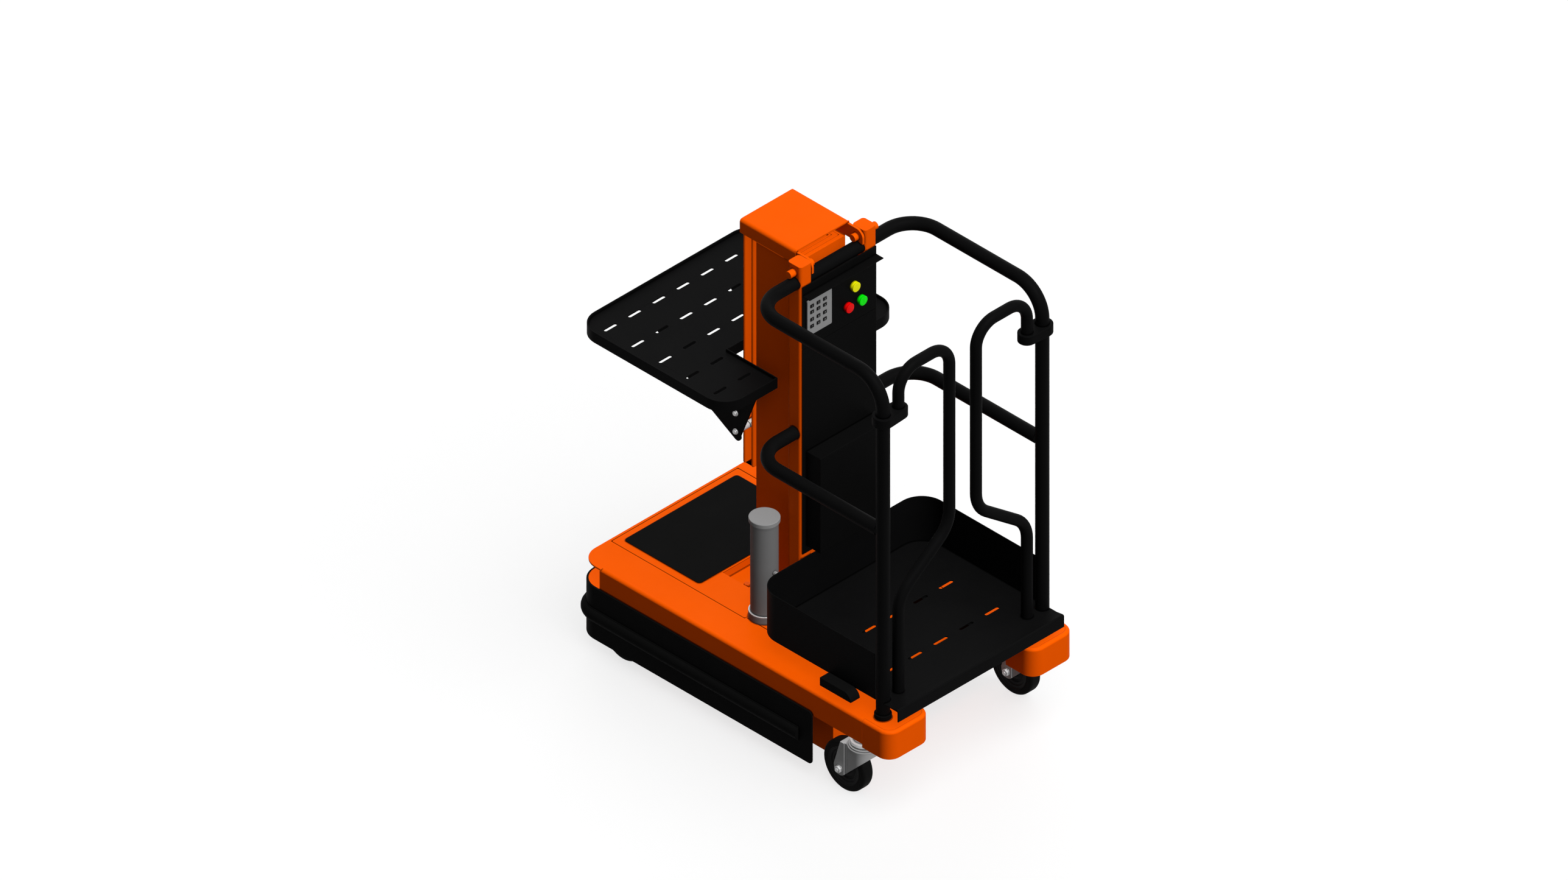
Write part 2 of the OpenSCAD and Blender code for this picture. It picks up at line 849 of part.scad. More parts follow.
module power_unit() {
    color(grey) placed() translate([-tank_x, tank_y, deck_z]) {
        difference() {
            union() {
                cylinder(d = tank_d + 11, h = flange_h);
                cylinder(d = tank_d, h = tank_h);
                translate([0, 0, tank_h * 0.4]) rotate([0, 90, 0]) cylinder(d = 14, h = tank_d / 2 + 12);
            }
            translate([0, 0, flange_h]) cylinder(d = tank_d - 8, h = tank_h);
        }
    }
}

module power_unit_cap() {
    color(grey) placed() translate([-tank_x, tank_y, deck_z + tank_h])
        cylinder(d = tank_d + 10, h = lid_t);
}

// Places where bolts hold the column's foot, as [X, Y]
foot_x = well_x - 10;
foot_y0 = well_front_y + 5;
foot_y1 = column_y + column_d + 40;
foot_bolts = [for (x = [-foot_x + 12, foot_x - 12]) for (y = [column_y + 25, column_y + column_d + 20]) [x, y]];

module mast_column() {
    color(orange) placed() {
        difference() {
            block([-foot_x, foot_y0, column_z], [foot_x, foot_y1, column_z + foot_t]);
            translate([0, mast_y, column_z - past]) cylinder(d = barrel_d + 2 * fit_gap, h = foot_t + 2 * past);
            for (at = foot_bolts) translate([at[0], at[1], column_z - past])
                cylinder(d = bolt_d + 2 * fit_gap, h = foot_t + 2 * past);
        }
        section_tube(column_w, column_d, column_z + foot_t, column_top_z);
        section_lip(column_w, column_d);
    }
}

module mast_foot_bolts() {
    color(steel) placed() for (at = foot_bolts) translate([at[0], at[1], column_z]) {
        cylinder(d = bolt_d, h = foot_t);
        translate([0, 0, foot_t]) hex_head(16, 7);
    }
}

// Four slide pads on the inside of a section, round the next section
module inside_pads(w, d, z0) {
    t = section_gap - slide_gap;
    x = w / 2 - section_t;
    y = d / 2 - section_t;
    translate([0, mast_y, z0]) {
        for (side = [-1, 1]) {
            translate([side * (x - t / 2), 0, pad_h / 2]) cube([t, d / 2, pad_h], center = true);
            translate([0, side * (y - t / 2), pad_h / 2]) cube([w / 2, t, pad_h], center = true);
        }
    }
}

// Four slide pads on the outside of a section, against the section round it
module outside_pads(w, d, z0) {
    t = section_gap - slide_gap;
    translate([0, mast_y, z0]) {
        for (side = [-1, 1]) {
            translate([side * (w / 2 + t / 2), 0, pad_h / 2]) cube([t, d / 2, pad_h], center = true);
            translate([0, side * (d / 2 + t / 2), pad_h / 2]) cube([w / 2, t, pad_h], center = true);
        }
    }
}

module column_guide_pads() {
    color(nylon) placed() inside_pads(column_w, column_d, column_top_z - lip_t - pad_h);
}

module lift_cylinder_barrel() {
    color(grey) placed() translate([0, mast_y, well_z]) difference() {
        cylinder(d = barrel_d, h = barrel_top_z - well_z);
        translate([0, 0, ram_low_z - well_z])
            cylinder(d = barrel_d - 2 * barrel_t, h = barrel_top_z - gland_h - ram_low_z);
        cylinder(d = plunger_low_d + 2 * run_gap, h = 3 * column_top_z);
        cylinder(d = plunger_low_d - 8, h = 1);
    }
}

module castor_plate() {
    translate([castor_x, swivel_y, 0]) {
        // Upper race and kingpin, with the nut that holds the fork
        translate([0, 0, fork_top_z + 14.5]) cylinder(r = 40, h = rail_z0 - pad_drop - fork_top_z - 14.5);
        translate([0, 0, fork_top_z + 14.5]) cylinder(r = 30, h = rail_z0 - plate_h - fork_top_z - 14.5);
        translate([0, 0, fork_top_z - plate_h - 8]) cylinder(d = kingpin_d, h = 30);
        translate([0, 0, fork_top_z - plate_h - 8]) cylinder(d = kingpin_d + 12, h = 7.7);
    }
    difference() {
        block([castor_plate_x0, swivel_y - castor_plate_l / 2, rail_z0 - plate_h],
              [castor_plate_x1, swivel_y + castor_plate_l / 2, rail_z0]);
        castor_bolt_holes() cylinder(d = bolt_d + 2 * fit_gap, h = 20, center = true);
    }
}

// Repeats its child at the four bolts of a castor plate
module castor_bolt_holes() {
    for (x = [castor_plate_x0 + 10, castor_plate_x1 - 10])
        for (side = [-1, 1])
            translate([x, swivel_y + side * (castor_plate_l / 2 - 9), rail_z0 - plate_h]) children();
}

module castor_plates() {
    color(steel) placed() pair() castor_plate();
}

module castor_plate_bolts() {
    color(steel) placed() pair() castor_bolt_holes() {
        cylinder(d = bolt_d, h = plate_h);
        translate([0, 0, -5]) hex_head(13, 5);
    }
}

// Side view of a castor fork as Y and Z, with the swivel axis at Y = 0
module fork_side() {
    r = fork_end_r;
    s = r * sin(45);
    polygon([[-fork_w / 2 - 12, fork_top_z], [trail - 2, fork_top_z], [trail + r + 1, wheel_r + 7],
             [trail + r, wheel_r], [trail - s, wheel_r - s],
             [-fork_w / 2 - 1, wheel_r - 2 * s + trail + fork_w / 2 + 1]]);
    translate([trail, wheel_r]) circle(r);
}

// Plan of a castor fork, set in by the given distance
module fork_plan(inset) {
    half = fork_w / 2 - inset;
    circle(half);
    area([-half, 0], [half, trail + 60]);
}

module castor_fork(x) {
    color(grey) placed() translate([x, swivel_y, 0]) difference() {
        union() {
            intersection() {
                along_z(wheel_r - 40, fork_top_z) fork_plan(0);
                along_x(-fork_w, fork_w) fork_side();
            }
            translate([0, 0, fork_top_z - plate_h]) cylinder(r = fork_w / 2, h = plate_h);
            // Lower race in three steps
            translate([0, 0, fork_top_z]) cylinder(r = fork_head_r - 9, h = 14);
            translate([0, 0, fork_top_z]) cylinder(r = fork_head_r - 4, h = 9);
            translate([0, 0, fork_top_z]) cylinder(r = fork_head_r, h = 4);
        }
        difference() {
            along_z(0, fork_top_z - plate_h) fork_plan(fork_t);
            // Backing of the pressed grooves
            for (side = [-1, 1]) translate([side * (fork_w / 2 - fork_t), groove_y, fork_top_z / 2])
                cube([2 * groove_t, groove_w + 2 * fork_t, fork_top_z], center = true);
        }
        for (side = [-1, 1]) translate([side * fork_w / 2, groove_y, fork_top_z / 2])
            cube([2 * groove_t, groove_w, fork_top_z + 2 * past], center = true);
        cylinder(d = kingpin_d + 2 * run_gap, h = deck_z);
        bar_x(axle_d + 2 * fit_gap, -fork_w, fork_w, trail, wheel_r);
    }
}

// Axle bolt with its spacers, heads and nut, centred on a wheel
module wheel_axle() {
    rotate([0, 90, 0]) {
        cylinder(d = axle_d, h = fork_w, center = true);
        for (side = [0, 180]) rotate([side, 0, 0]) {
            translate([0, 0, wheel_w / 2 + slide_gap])
                cylinder(d = axle_d + 8, h = (fork_w - wheel_w) / 2 - fork_t - slide_gap);
            translate([0, 0, fork_w / 2]) cylinder(d = 2 * axle_d, h = 1.5);
            translate([0, 0, fork_w / 2 + 1.5]) hex_head(19, 8);
            translate([0, 0, fork_w / 2]) cylinder(d = axle_d, h = 13);
        }
    }
}

module castor_axle(x) {
    color(steel) placed() translate([x, castor_y, wheel_r]) wheel_axle();
}

// Section of a wheel's face as [radius, depth below the face], with its stepped rings
wheel_face = [[bore_d / 2, 0], [hub_r, 0], [hub_r + 3, 5], [40, 11], [42, 7], [50, 7], [53, 4],
              [58, 4], [61, 0], [wheel_r - wheel_edge, 0], [wheel_r - 2, 2], [wheel_r, wheel_edge]];

module wheel() {
    w = wheel_w / 2;
    last = len(wheel_face) - 1;
    rotate([0, 90, 0]) rotate_extrude()
        polygon([for (p = wheel_face) [p[0], w - p[1]],
                 for (i = [last : -1 : 0]) [wheel_face[i][0], wheel_face[i][1] - w]]);
}

module castor_wheel(x) {
    color(rubber) placed() translate([x, castor_y, wheel_r]) wheel();
}

module fixed_wheel(x) {
    color(rubber) placed() translate([x, fixed_y, wheel_r]) wheel();
}

module fixed_wheel_forks() {
    color(steel) placed() pair() translate([fixed_x, fixed_y, 0]) {
        block([-fork_w / 2, -fixed_plate_l / 2, rail_z0 - plate_h],
              [fork_w / 2, fixed_plate_l / 2, rail_z0]);
        difference() {
            for (x = [-fork_w / 2, fork_w / 2 - fork_t]) along_x(x, x + fork_t) {
                polygon([[-45, rail_z0 - plate_h], [45, rail_z0 - plate_h],
                         [hub_r, wheel_r], [-hub_r, wheel_r]]);
                translate([0, wheel_r]) circle(hub_r);
            }
            bar_x(axle_d + 2 * fit_gap, -fork_w, fork_w, 0, wheel_r);
        }
    }
}

module fixed_wheel_axles() {
    color(steel) placed() pair() translate([fixed_x, fixed_y, wheel_r]) difference() {
        wheel_axle();
        // The outer end is cut short inside the skirt
        block([half_w - fixed_x - 1, -20, -20], [half_w - fixed_x + 20, 20, 20]);
    }
}

module mast_middle_section() {
    color(orange) placed() {
        section_tube(middle_w, middle_d, section_low_z, column_top_z);
        section_lip(middle_w, middle_d);
    }
}

module middle_guide_pads() {
    color(nylon) placed() {
        outside_pads(middle_w, middle_d, section_low_z);
        inside_pads(middle_w, middle_d, column_top_z - lip_t - pad_h);
    }
}

module lift_plunger_lower() {
    color(steel) placed() translate([0, mast_y, ram_low_z]) difference() {
        union() {
            cylinder(d = plunger_low_d, h = plunger_low_top_z - ram_low_z);
            translate([0, 0, barrel_top_z - ram_low_z + slide_gap])
                cylinder(d = barrel_d - 6, h = plunger_low_top_z - barrel_top_z - slide_gap);
        }
        translate([0, 0, 10]) cylinder(d = plunger_top_d + 4, h = plunger_low_top_z - gland_h - ram_low_z - 10);
        cylinder(d = plunger_top_d + 2 * run_gap, h = 3 * column_top_z);
    }
}

module mast_inner_section() {
    color(orange) placed() {
        section_tube(inner_w, inner_d, section_low_z, column_top_z);
        // Cap, and the crown block that carries the hat
        translate([0, mast_y, column_top_z - 12])
            cube([inner_w - section_t, inner_d - section_t, 16], center = true);
        block([-inner_w / 3, mast_y, column_top_z - 4], [inner_w / 3, mast_y + inner_d / 2, hat_in_z]);
    }
}

module inner_guide_pads() {
    color(nylon) placed() outside_pads(inner_w, inner_d, section_low_z);
}

module lift_plunger_upper() {
    color(steel) placed() translate([0, mast_y, ram_low_z])
        cylinder(d = plunger_top_d, h = column_top_z - 20 - ram_low_z);
}

module mast_hat() {
    color(orange) placed() {
        hat_sheet();
        // Hem under the front edge
        block([-hat_in_x - hat_t / 2, hat_front_y, hat_in_z - hat_in_r],
              [hat_in_x + hat_t / 2, hat_front_y + hat_t, hat_in_z + hat_t / 2]);
    }
}

module hat_sheet() {
    along_y(hat_front_y, hat_rear_y) difference() {
        union() {
            area([-hat_w / 2, hat_top_z - hat_side], [hat_w / 2, hat_top_z - hat_r]);
            area([-hat_w / 2 + hat_r, hat_top_z - hat_side], [hat_w / 2 - hat_r, hat_top_z]);
            for (side = [-1, 1]) translate([side * (hat_w / 2 - hat_r), hat_top_z - hat_r]) circle(hat_r);
        }
        area([-hat_in_x, hat_top_z - hat_side - past], [hat_in_x, hat_in_z - hat_in_r]);
        area([-hat_in_x + hat_in_r, hat_top_z - hat_side - past], [hat_in_x - hat_in_r, hat_in_z]);
        for (side = [-1, 1])
            translate([side * (hat_in_x - hat_in_r), hat_in_z - hat_in_r]) circle(hat_in_r);
    }
}

module tray_rails() {
    y0 = channel_y;
    y1 = channel_y + channel_d;
    color(orange) placed() pair() along_z(rail_low_z, hat_in_z) {
        area([channel_web_x, y0], [channel_web_x + web_t, y1]);
        area([channel_web_x, y0], [channel_x, y0 + channel_t]);
        area([channel_web_x, y1 - channel_t], [channel_x, y1]);
    }
}

module hanger_plates() {
    z0 = hanger_low_z;
    z1 = hanger_top_z;
    r = 25;
    y0 = upright_y + 2;
    color(orange) placed() pair() difference() {
        along_x(upright_x0 - hanger_t, upright_x0) {
            area([y0, z0], [hanger_rear_y, z1 - r]);
            area([y0 + r, z0], [hanger_rear_y, z1]);
            translate([y0 + r, z1 - r]) circle(r);
        }
        bar_x(pin_d + 2 * fit_gap, 0, half_w, pin_y, pin_z);
        bar_x(rail_d + 2 * fit_gap, 0, half_w, bar_y, rail_mid_z);
    }
}

module hanger_pins() {
    color(orange) placed() pair()
        bar_x(pin_d, upright_x0 - hanger_t - pin_in, upright_x1 + pin_out, pin_y, pin_z);
}

module upright(side) {
    color(orange) placed() scale([side, 1, 1]) difference() {
        along_z(upright_low_z, upright_top_z)
            round_area([upright_x0, upright_y], [upright_x1, upright_y + upright_d], upright_r);
        block([upright_x0 + upright_t, upright_y + upright_t, upright_low_z - past],
              [upright_x1 - upright_t, upright_y + upright_d - upright_t, upright_top_z - upright_t]);
        bar_x(pin_d + 2 * fit_gap, 0, half_w, pin_y, pin_z);
        bar_x(rail_d + 2 * fit_gap, 0, half_w, bar_y, rail_mid_z);
    }
}

// Holes of the push-buttons through the console
module button_holes() {
    for (at = [yellow_at, green_at, red_at])
        bar_y(button_d + 2 * run_gap, upright_y - 60, upright_y + 1, at[0], at[1]);
}

module console_panel() {
    color(black) placed() difference() {
        union() {
            block([-console_w / 2, console_y, console_seam_z + seam_gap / 2],
                  [console_w / 2, upright_y, console_top_z]);
            block([-console_w / 2, console_y - visor_d, visor_z - console_t],
                  [console_w / 2, console_y, visor_z]);
        }
        button_holes();
    }
}

module console_lower_panel() {
    color(black) placed() block([-console_w / 2, console_y, console_low_z],
                                [console_w / 2, upright_y, console_seam_z - seam_gap / 2]);
}

module control_box() {
    color(black) placed() difference() {
        block([-box_x, upright_y, box_z0], [box_x, upright_y + box_d, box_z1]);
        block([-box_x + 3, upright_y - past, box_z0 + 3], [box_x - 3, upright_y + box_d - 3, box_z1 - 3]);
    }
}

module front_box() {
    y0 = console_y - front_box_d;
    color(black) placed() difference() {
        block([-front_box_w / 2, y0, front_box_z], [front_box_w / 2, console_y, front_box_z + front_box_h]);
        block([-front_box_w / 2 + 3, y0 + 3, front_box_z + 3],
              [front_box_w / 2 - 3, console_y + past, front_box_z + front_box_h - 3]);
    }
}

// Repeats its child at every key as X and Z
module each_key() {
    for (x = key_columns_x) for (z = key_rows_z) translate([keypad_x0 + x, keypad_z0 + z]) children();
}

module keypad_plate() {
    r = 4;
    color(grey) placed() difference() {
        along_y(keypad_y, console_y)
            round_area([keypad_x0, keypad_z0], [keypad_x0 + keypad_w, keypad_z0 + keypad_h], r);
        along_y(console_y - key_web - key_gap, console_y + past)
            area([keypad_x0 + r, keypad_z0 + r], [keypad_x0 + keypad_w - r, keypad_z0 + keypad_h - r]);
        along_y(keypad_y - past, console_y) each_key()
            square([key_w + 2 * key_gap, key_h + 2 * key_gap], center = true);
    }
}

module key_mat() {
    inset = 4 + key_gap;
    color(rubber) placed() {
        along_y(console_y - key_web, console_y)
            area([keypad_x0 + inset, keypad_z0 + inset],
                 [keypad_x0 + keypad_w - inset, keypad_z0 + keypad_h - inset]);
        along_y(keypad_y - key_proud, console_y - key_web) each_key() square([key_w, key_h], center = true);
    }
}

module platform_floor() {
    y1 = flange_y + nosing_l;
    y2 = flange_y + floor_t;
    nosing_z = floor_z + nosing_h;
    box_z0 = floor_z - floor_t - arm_tube;
    color(black) placed() difference() {
        union() {
            // Floor sheet, raised nosing and front flange as one bent section
            intersection() {
                along_x(-floor_x, floor_x)
                    polygon([[floor_rear_y, floor_z], [y1, floor_z],
                             [y2, nosing_z], [flange_y, nosing_z - floor_t],
                             [flange_y, nosing_z - flange_d], [y2, nosing_z - flange_d],
                             [y2, floor_z - floor_t], [floor_rear_y, floor_z - floor_t]]);
                along_z(deck_z, floor_z + toe_h) toe_outline(0, flange_y - past);
            }
            // Rear flange between the round corners
            block([-floor_x + toe_r, floor_rear_y - floor_t, box_z0],
                  [floor_x - toe_r, floor_rear_y, floor_z - floor_t / 2]);
            // Two box arms that carry the sheet
            pair() difference() {
                block([upright_x - arm_tube_w / 2, y2, box_z0],
                      [upright_x + arm_tube_w / 2, floor_rear_y - floor_t, floor_z - floor_t]);
                block([upright_x - arm_tube_w / 2 + 3, y2 - past, box_z0 + 3],
                      [upright_x + arm_tube_w / 2 - 3, floor_rear_y - floor_t + past, floor_z - floor_t - 3]);
            }
            // Gate spigots
            pair() translate([gate_x, 0, floor_z])
                cylinder(d = gate_d - 2 * tube_t - 2 * run_gap, h = spigot_h);
            // Lug and pin of the pedal
            block([-floor_x, pedal_pin_y - 15, floor_z - 30],
                  [-floor_x + pedal_lug, pedal_pin_y + 15, floor_z - floor_t]);
            bar_x(pedal_pin_d, -pedal_x - pedal_w + 6, -floor_x + pedal_lug, pedal_pin_y, pedal_pin_z);
        }
        pair() translate([post_x, 0, 0]) cylinder(d = rail_d + 2 * fit_gap, h = 2 * floor_z);
        for (y = slot_rows) for (n = [-2 : 2]) translate([n * slot_apart, y, floor_z - floor_t - past])
            linear_extrude(floor_t + 2 * past) slot_area(floor_slot_l, floor_slot_w);
    }
}

// Plan outline of the toe board, set in by the given distance
module toe_outline(inset, y0) {
    x = floor_x - inset;
    y = floor_rear_y - inset;
    r = toe_r - inset;
    area([-x, y0], [x, y - r]);
    area([-x + r, y0], [x - r, y]);
    for (side = [-1, 1]) translate([side * (x - r), y - r]) circle(r);
}

module toe_board() {
    y0 = rail_d / 2;
    color(black) placed() along_z(floor_z, floor_z + toe_h) difference() {
        toe_outline(0, y0);
        toe_outline(toe_t, y0 - past);
    }
}

module handrail() {
    post_run = rail_mid_z - rail_bend - post_low_z;
    side_run = bar_y - 2 * rail_bend;
    bar_run = 2 * (post_x - rail_bend);
    color(black) placed() translate([-post_x, 0, post_low_z])
        tube_route([[post_run, rail_bend, 90, 90], [side_run, rail_bend, 90, -90],
                    [bar_run, rail_bend, 90, 0], [side_run, rail_bend, 90, 90], [post_run, 0, 0, 0]],
                   rail_d, tube_t);
}

module mid_rails() {
    color(black) placed() pair() difference() {
        translate([post_x, 0, mid_rail_z]) rotate([-90, 0, 0])
            tube_route([[bar_y - rail_bend, rail_bend, 90, 180], [post_x - rail_bend - upright_x1, 0, 0, 0]],
                       rail_d, tube_t);
        translate([post_x, 0, deck_z]) cylinder(d = rail_d + 2 * fit_gap, h = column_top_z);
    }
}

module post_feet() {
    color(rubber) placed() pair() translate([post_x, 0, post_low_z - post_foot_h]) {
        cylinder(d = post_foot_d, h = post_foot_h);
        cylinder(d = rail_d - 2 * tube_t, h = post_foot_h + rail_d * 0.75);
    }
}

// Plan outline of a clamp round the post and the gate, with its straight sides tangent to both
module clamp_outline() {
    tangent = asin((post_clamp_r - gate_clamp_r) / gate_offset);
    circle(post_clamp_r);
    translate([-gate_offset, 0]) circle(gate_clamp_r);
    polygon([for (s = [1, -1]) [-post_clamp_r * sin(tangent), s * post_clamp_r * cos(tangent)],
             for (s = [-1, 1]) [-gate_offset - gate_clamp_r * sin(tangent), s * gate_clamp_r * cos(tangent)]]);
}

module rail_clamps() {
    color(black) placed() pair() translate([post_x, 0, 0]) along_z(clamp_z0, clamp_z1) difference() {
        clamp_outline();
        circle(d = rail_d + 2 * fit_gap);
        translate([-gate_offset, 0]) circle(d = gate_d + 2 * run_gap);
    }
}

// A gate that pivots about its own Z axis and reaches towards +X
module gate() {
    foot_gap = 0.5;
    bottom_z = floor_z + foot_gap;
    top_z = floor_z + gate_top;
    translate([0, 0, bottom_z]) tube_route(
        [[gate_hip - foot_gap - knee_tangent, knee_bend, knee_angle, 0],
         [diagonal_l - 2 * knee_tangent, knee_bend, knee_angle, 180],
         [gate_top - gate_knee - knee_tangent - gate_bend, gate_bend, 90, 0],
         [gate_reach - 2 * gate_bend, gate_bend, 90, 0],
         [top_z - gate_bend - clamp_z0, 0, 0, 0]],
        gate_d, tube_t);
}

module gate_left() {
    color(black) placed() translate([-gate_x, 0, 0]) gate();
}

module gate_right() {
    color(black) placed() translate([gate_x, 0, 0]) mirror([1, 0, 0]) gate();
}

// Plan outline of the tray, set in by the given distance, with the mast cut-out
module tray_outline(inset) {
    difference() {
        round_area([-tray_x + inset, tray_front_y + inset],
                   [tray_x - inset, tray_rear_y - inset], tray_r - inset);
        area([-cut_x - inset, tray_front_y - past], [cut_x + inset, cut_end_y + inset]);
    }
}

module load_tray() {
    color(black) placed() difference() {
        union() {
            along_z(tray_z - tray_lip, tray_z) difference() {
                tray_outline(0);
                tray_outline(tray_t);
            }
            along_z(tray_floor_z - tray_t, tray_floor_z) tray_outline(tray_t / 2);
        }
        for (row = [0 : 4]) for (column = [-3 : 3])
            if (row < 3 || abs(column) > 1)
                translate([column * slot_pitch, slot_first_y - row * slot_step_y, tray_floor_z - tray_t - past])
                    linear_extrude(tray_t + 2 * past) slot_area(slot_l, slot_w);
    }
}

module tray_brackets() {
    tip_r = 14;
    tip_z = roller_z - 16;
    top_z = tray_floor_z - tray_t;
    tongue_h = 36;
    nose_y = tray_front_y + tray_t + 0.3 + tongue_h / 2;
    color(black) placed() pair() difference() {
        along_x(bracket_x, bracket_x + bracket_t) {
            translate([roller_y - 3, tip_z]) circle(tip_r);
            translate([nose_y, top_z - tongue_h / 2]) circle(tongue_h / 2);
            area([nose_y, top_z - tongue_h], [tray_rear_y - bracket_end + 18, top_z]);
            polygon([[roller_y - 16, tip_z + 5], [roller_y - 99, top_z - tongue_h],
                     [tray_rear_y - bracket_end, top_z - tongue_h], [roller_y + 150, tip_z + 70],
                     [roller_y + 4, tip_z - 12]]);
        }
        for (z = [roller_z, roller_z + roller_pitch])
            bar_x(tray_bolt_d + 2 * fit_gap, 0, tray_x, roller_y, z);
    }
}

module tray_rollers() {
    x0 = channel_x - roller_w;
    color(nylon) placed() pair() for (z = [roller_z, roller_z + roller_pitch]) difference() {
        bar_x(roller_d, x0, channel_x - 1, roller_y, z);
        bar_x(tray_bolt_d + 2 * run_gap, x0 - past, channel_x, roller_y, z);
    }
}

module tray_bolts() {
    color(steel) placed() pair() for (z = [roller_z, roller_z + roller_pitch]) {
        bar_x(tray_bolt_d, channel_x - roller_w, bracket_x + bracket_t, roller_y, z);
        bar_x(tray_bolt_d + 8, channel_x + 0.5, bracket_x, roller_y, z);
        bar_x(tray_bolt_d + 6, bracket_x + bracket_t, bracket_x + bracket_t + 4, roller_y, z);
        bar_x(13, bracket_x + bracket_t, bracket_x + bracket_t + 8, roller_y, z);
    }
}

module pedal() {
    x1 = -pedal_x;
    x0 = x1 - pedal_w;
    y0 = pedal_rear_y - pedal_l;
    z0 = pedal_top_z - pedal_h;
    color(black) placed() difference() {
        along_x(x0, x1) {
            area([y0 + pedal_h, z0], [pedal_rear_y, pedal_top_z]);
            intersection() {
                translate([y0 + pedal_h, z0]) circle(pedal_h);
                area([y0, z0], [y0 + pedal_h + past, pedal_top_z]);
            }
        }
        bar_x(pedal_pin_d + 2 * run_gap, x0 + 5, x1 + past, pedal_pin_y, pedal_pin_z);
    }
}

module push_button(shade, at) {
    y0 = console_y - button_out;
    color(shade) placed() {
        bar_y(button_d, y0, upright_y + 6, at[0], at[1]);
        bar_y(button_d - 12, upright_y + 6, upright_y + 20, at[0], at[1]);
    }
}

deck_frame();
base_pan();
corner_pads();
deck_cover();
deck_mat();
skirt();
bumper();
batteries();
power_unit();
power_unit_cap();
mast_column();
mast_foot_bolts();
column_guide_pads();
lift_cylinder_barrel();
castor_plates();
castor_plate_bolts();
fixed_wheel_forks();
fixed_wheel_axles();
mast_middle_section();
middle_guide_pads();
lift_plunger_lower();
mast_inner_section();
inner_guide_pads();
lift_plunger_upper();
mast_hat();
tray_rails();
hanger_plates();
hanger_pins();
upright(-1);  // upright_left
upright(1);  // upright_right
console_panel();
console_lower_panel();
control_box();
front_box();
keypad_plate();
key_mat();
platform_floor();
toe_board();
handrail();
mid_rails();
post_feet();
rail_clamps();
load_tray();
tray_brackets();
tray_rollers();
tray_bolts();
gate_left();
gate_right();
pedal();
castor_fork(-castor_x);  // castor_fork_left
castor_fork(castor_x);  // castor_fork_right
castor_axle(-castor_x);  // castor_axle_left
castor_axle(castor_x);  // castor_axle_right
castor_wheel(-castor_x);  // castor_wheel_left
castor_wheel(castor_x);  // castor_wheel_right
fixed_wheel(-fixed_x);  // fixed_wheel_left
fixed_wheel(fixed_x);  // fixed_wheel_right
push_button([1, 1, 0], yellow_at);  // button_yellow
push_button([0, 1, 0], green_at);  // button_green
push_button([1, 0, 0], red_at);  // button_red
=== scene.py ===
"""Dresses the manual stock picker: its finishes, its turned, bent and pressed pieces, and the studio.

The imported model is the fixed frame. Each sub-assembly below is a class that holds its own sizes,
builds the pieces that need finer shapes than the frame's solids, and gives every piece its finish.
Sizes are in millimetres, as X, station from the entry posts, and height, unless a name says metres.
"""
from __future__ import annotations

import json
import logging
import math
from dataclasses import dataclass, field
from enum import Enum
from typing import Callable, Dict, List, Sequence, Tuple

import bmesh
import bpy
from mathutils import Matrix, Vector

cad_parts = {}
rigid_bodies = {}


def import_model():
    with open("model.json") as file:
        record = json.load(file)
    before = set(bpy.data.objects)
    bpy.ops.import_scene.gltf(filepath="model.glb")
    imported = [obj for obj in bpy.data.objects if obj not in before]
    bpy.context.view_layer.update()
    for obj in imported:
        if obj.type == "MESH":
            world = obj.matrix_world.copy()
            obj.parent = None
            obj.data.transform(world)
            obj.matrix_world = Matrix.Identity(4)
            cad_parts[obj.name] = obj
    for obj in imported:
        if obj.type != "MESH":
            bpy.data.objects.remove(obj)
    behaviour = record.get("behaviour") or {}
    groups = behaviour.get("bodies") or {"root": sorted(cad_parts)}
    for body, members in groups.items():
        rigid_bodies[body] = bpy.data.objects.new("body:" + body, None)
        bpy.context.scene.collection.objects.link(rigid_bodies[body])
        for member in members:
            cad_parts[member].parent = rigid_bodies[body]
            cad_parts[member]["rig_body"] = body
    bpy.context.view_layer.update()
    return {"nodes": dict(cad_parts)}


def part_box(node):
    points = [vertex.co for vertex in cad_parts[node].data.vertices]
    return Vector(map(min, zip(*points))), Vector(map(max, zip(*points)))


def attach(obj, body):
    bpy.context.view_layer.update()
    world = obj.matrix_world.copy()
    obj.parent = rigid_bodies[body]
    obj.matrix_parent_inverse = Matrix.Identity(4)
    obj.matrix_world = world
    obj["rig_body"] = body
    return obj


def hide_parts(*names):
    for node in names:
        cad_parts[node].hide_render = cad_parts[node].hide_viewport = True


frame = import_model()

LOG = logging.getLogger("stock_picker")

MM = 0.001
MID_STATION = 545.5
PHOTO_WIDTH = 2576
PHOTO_PX_PER_MM = 0.595
UP, AHEAD, RIGHT = Vector((0, 0, 1)), Vector((0, 1, 0)), Vector((1, 0, 0))
Colour = Tuple[float, float, float]
Point = Tuple[float, float, float]
Outline = Sequence[Tuple[float, float]]
Node = bpy.types.Node
Socket = bpy.types.NodeSocket
Piece = bpy.types.Object


def at(x: float, station: float, z: float) -> Vector:
    """Turn a drawing position into metres in the model's frame.

    Args:
        x: Millimetres to the operator's right.
        station: Millimetres from the entry posts towards the load end.
        z: Millimetres above the floor.

    Returns:
        The point in metres.
    """
    return Vector((x * MM, (station - MID_STATION) * MM, z * MM))


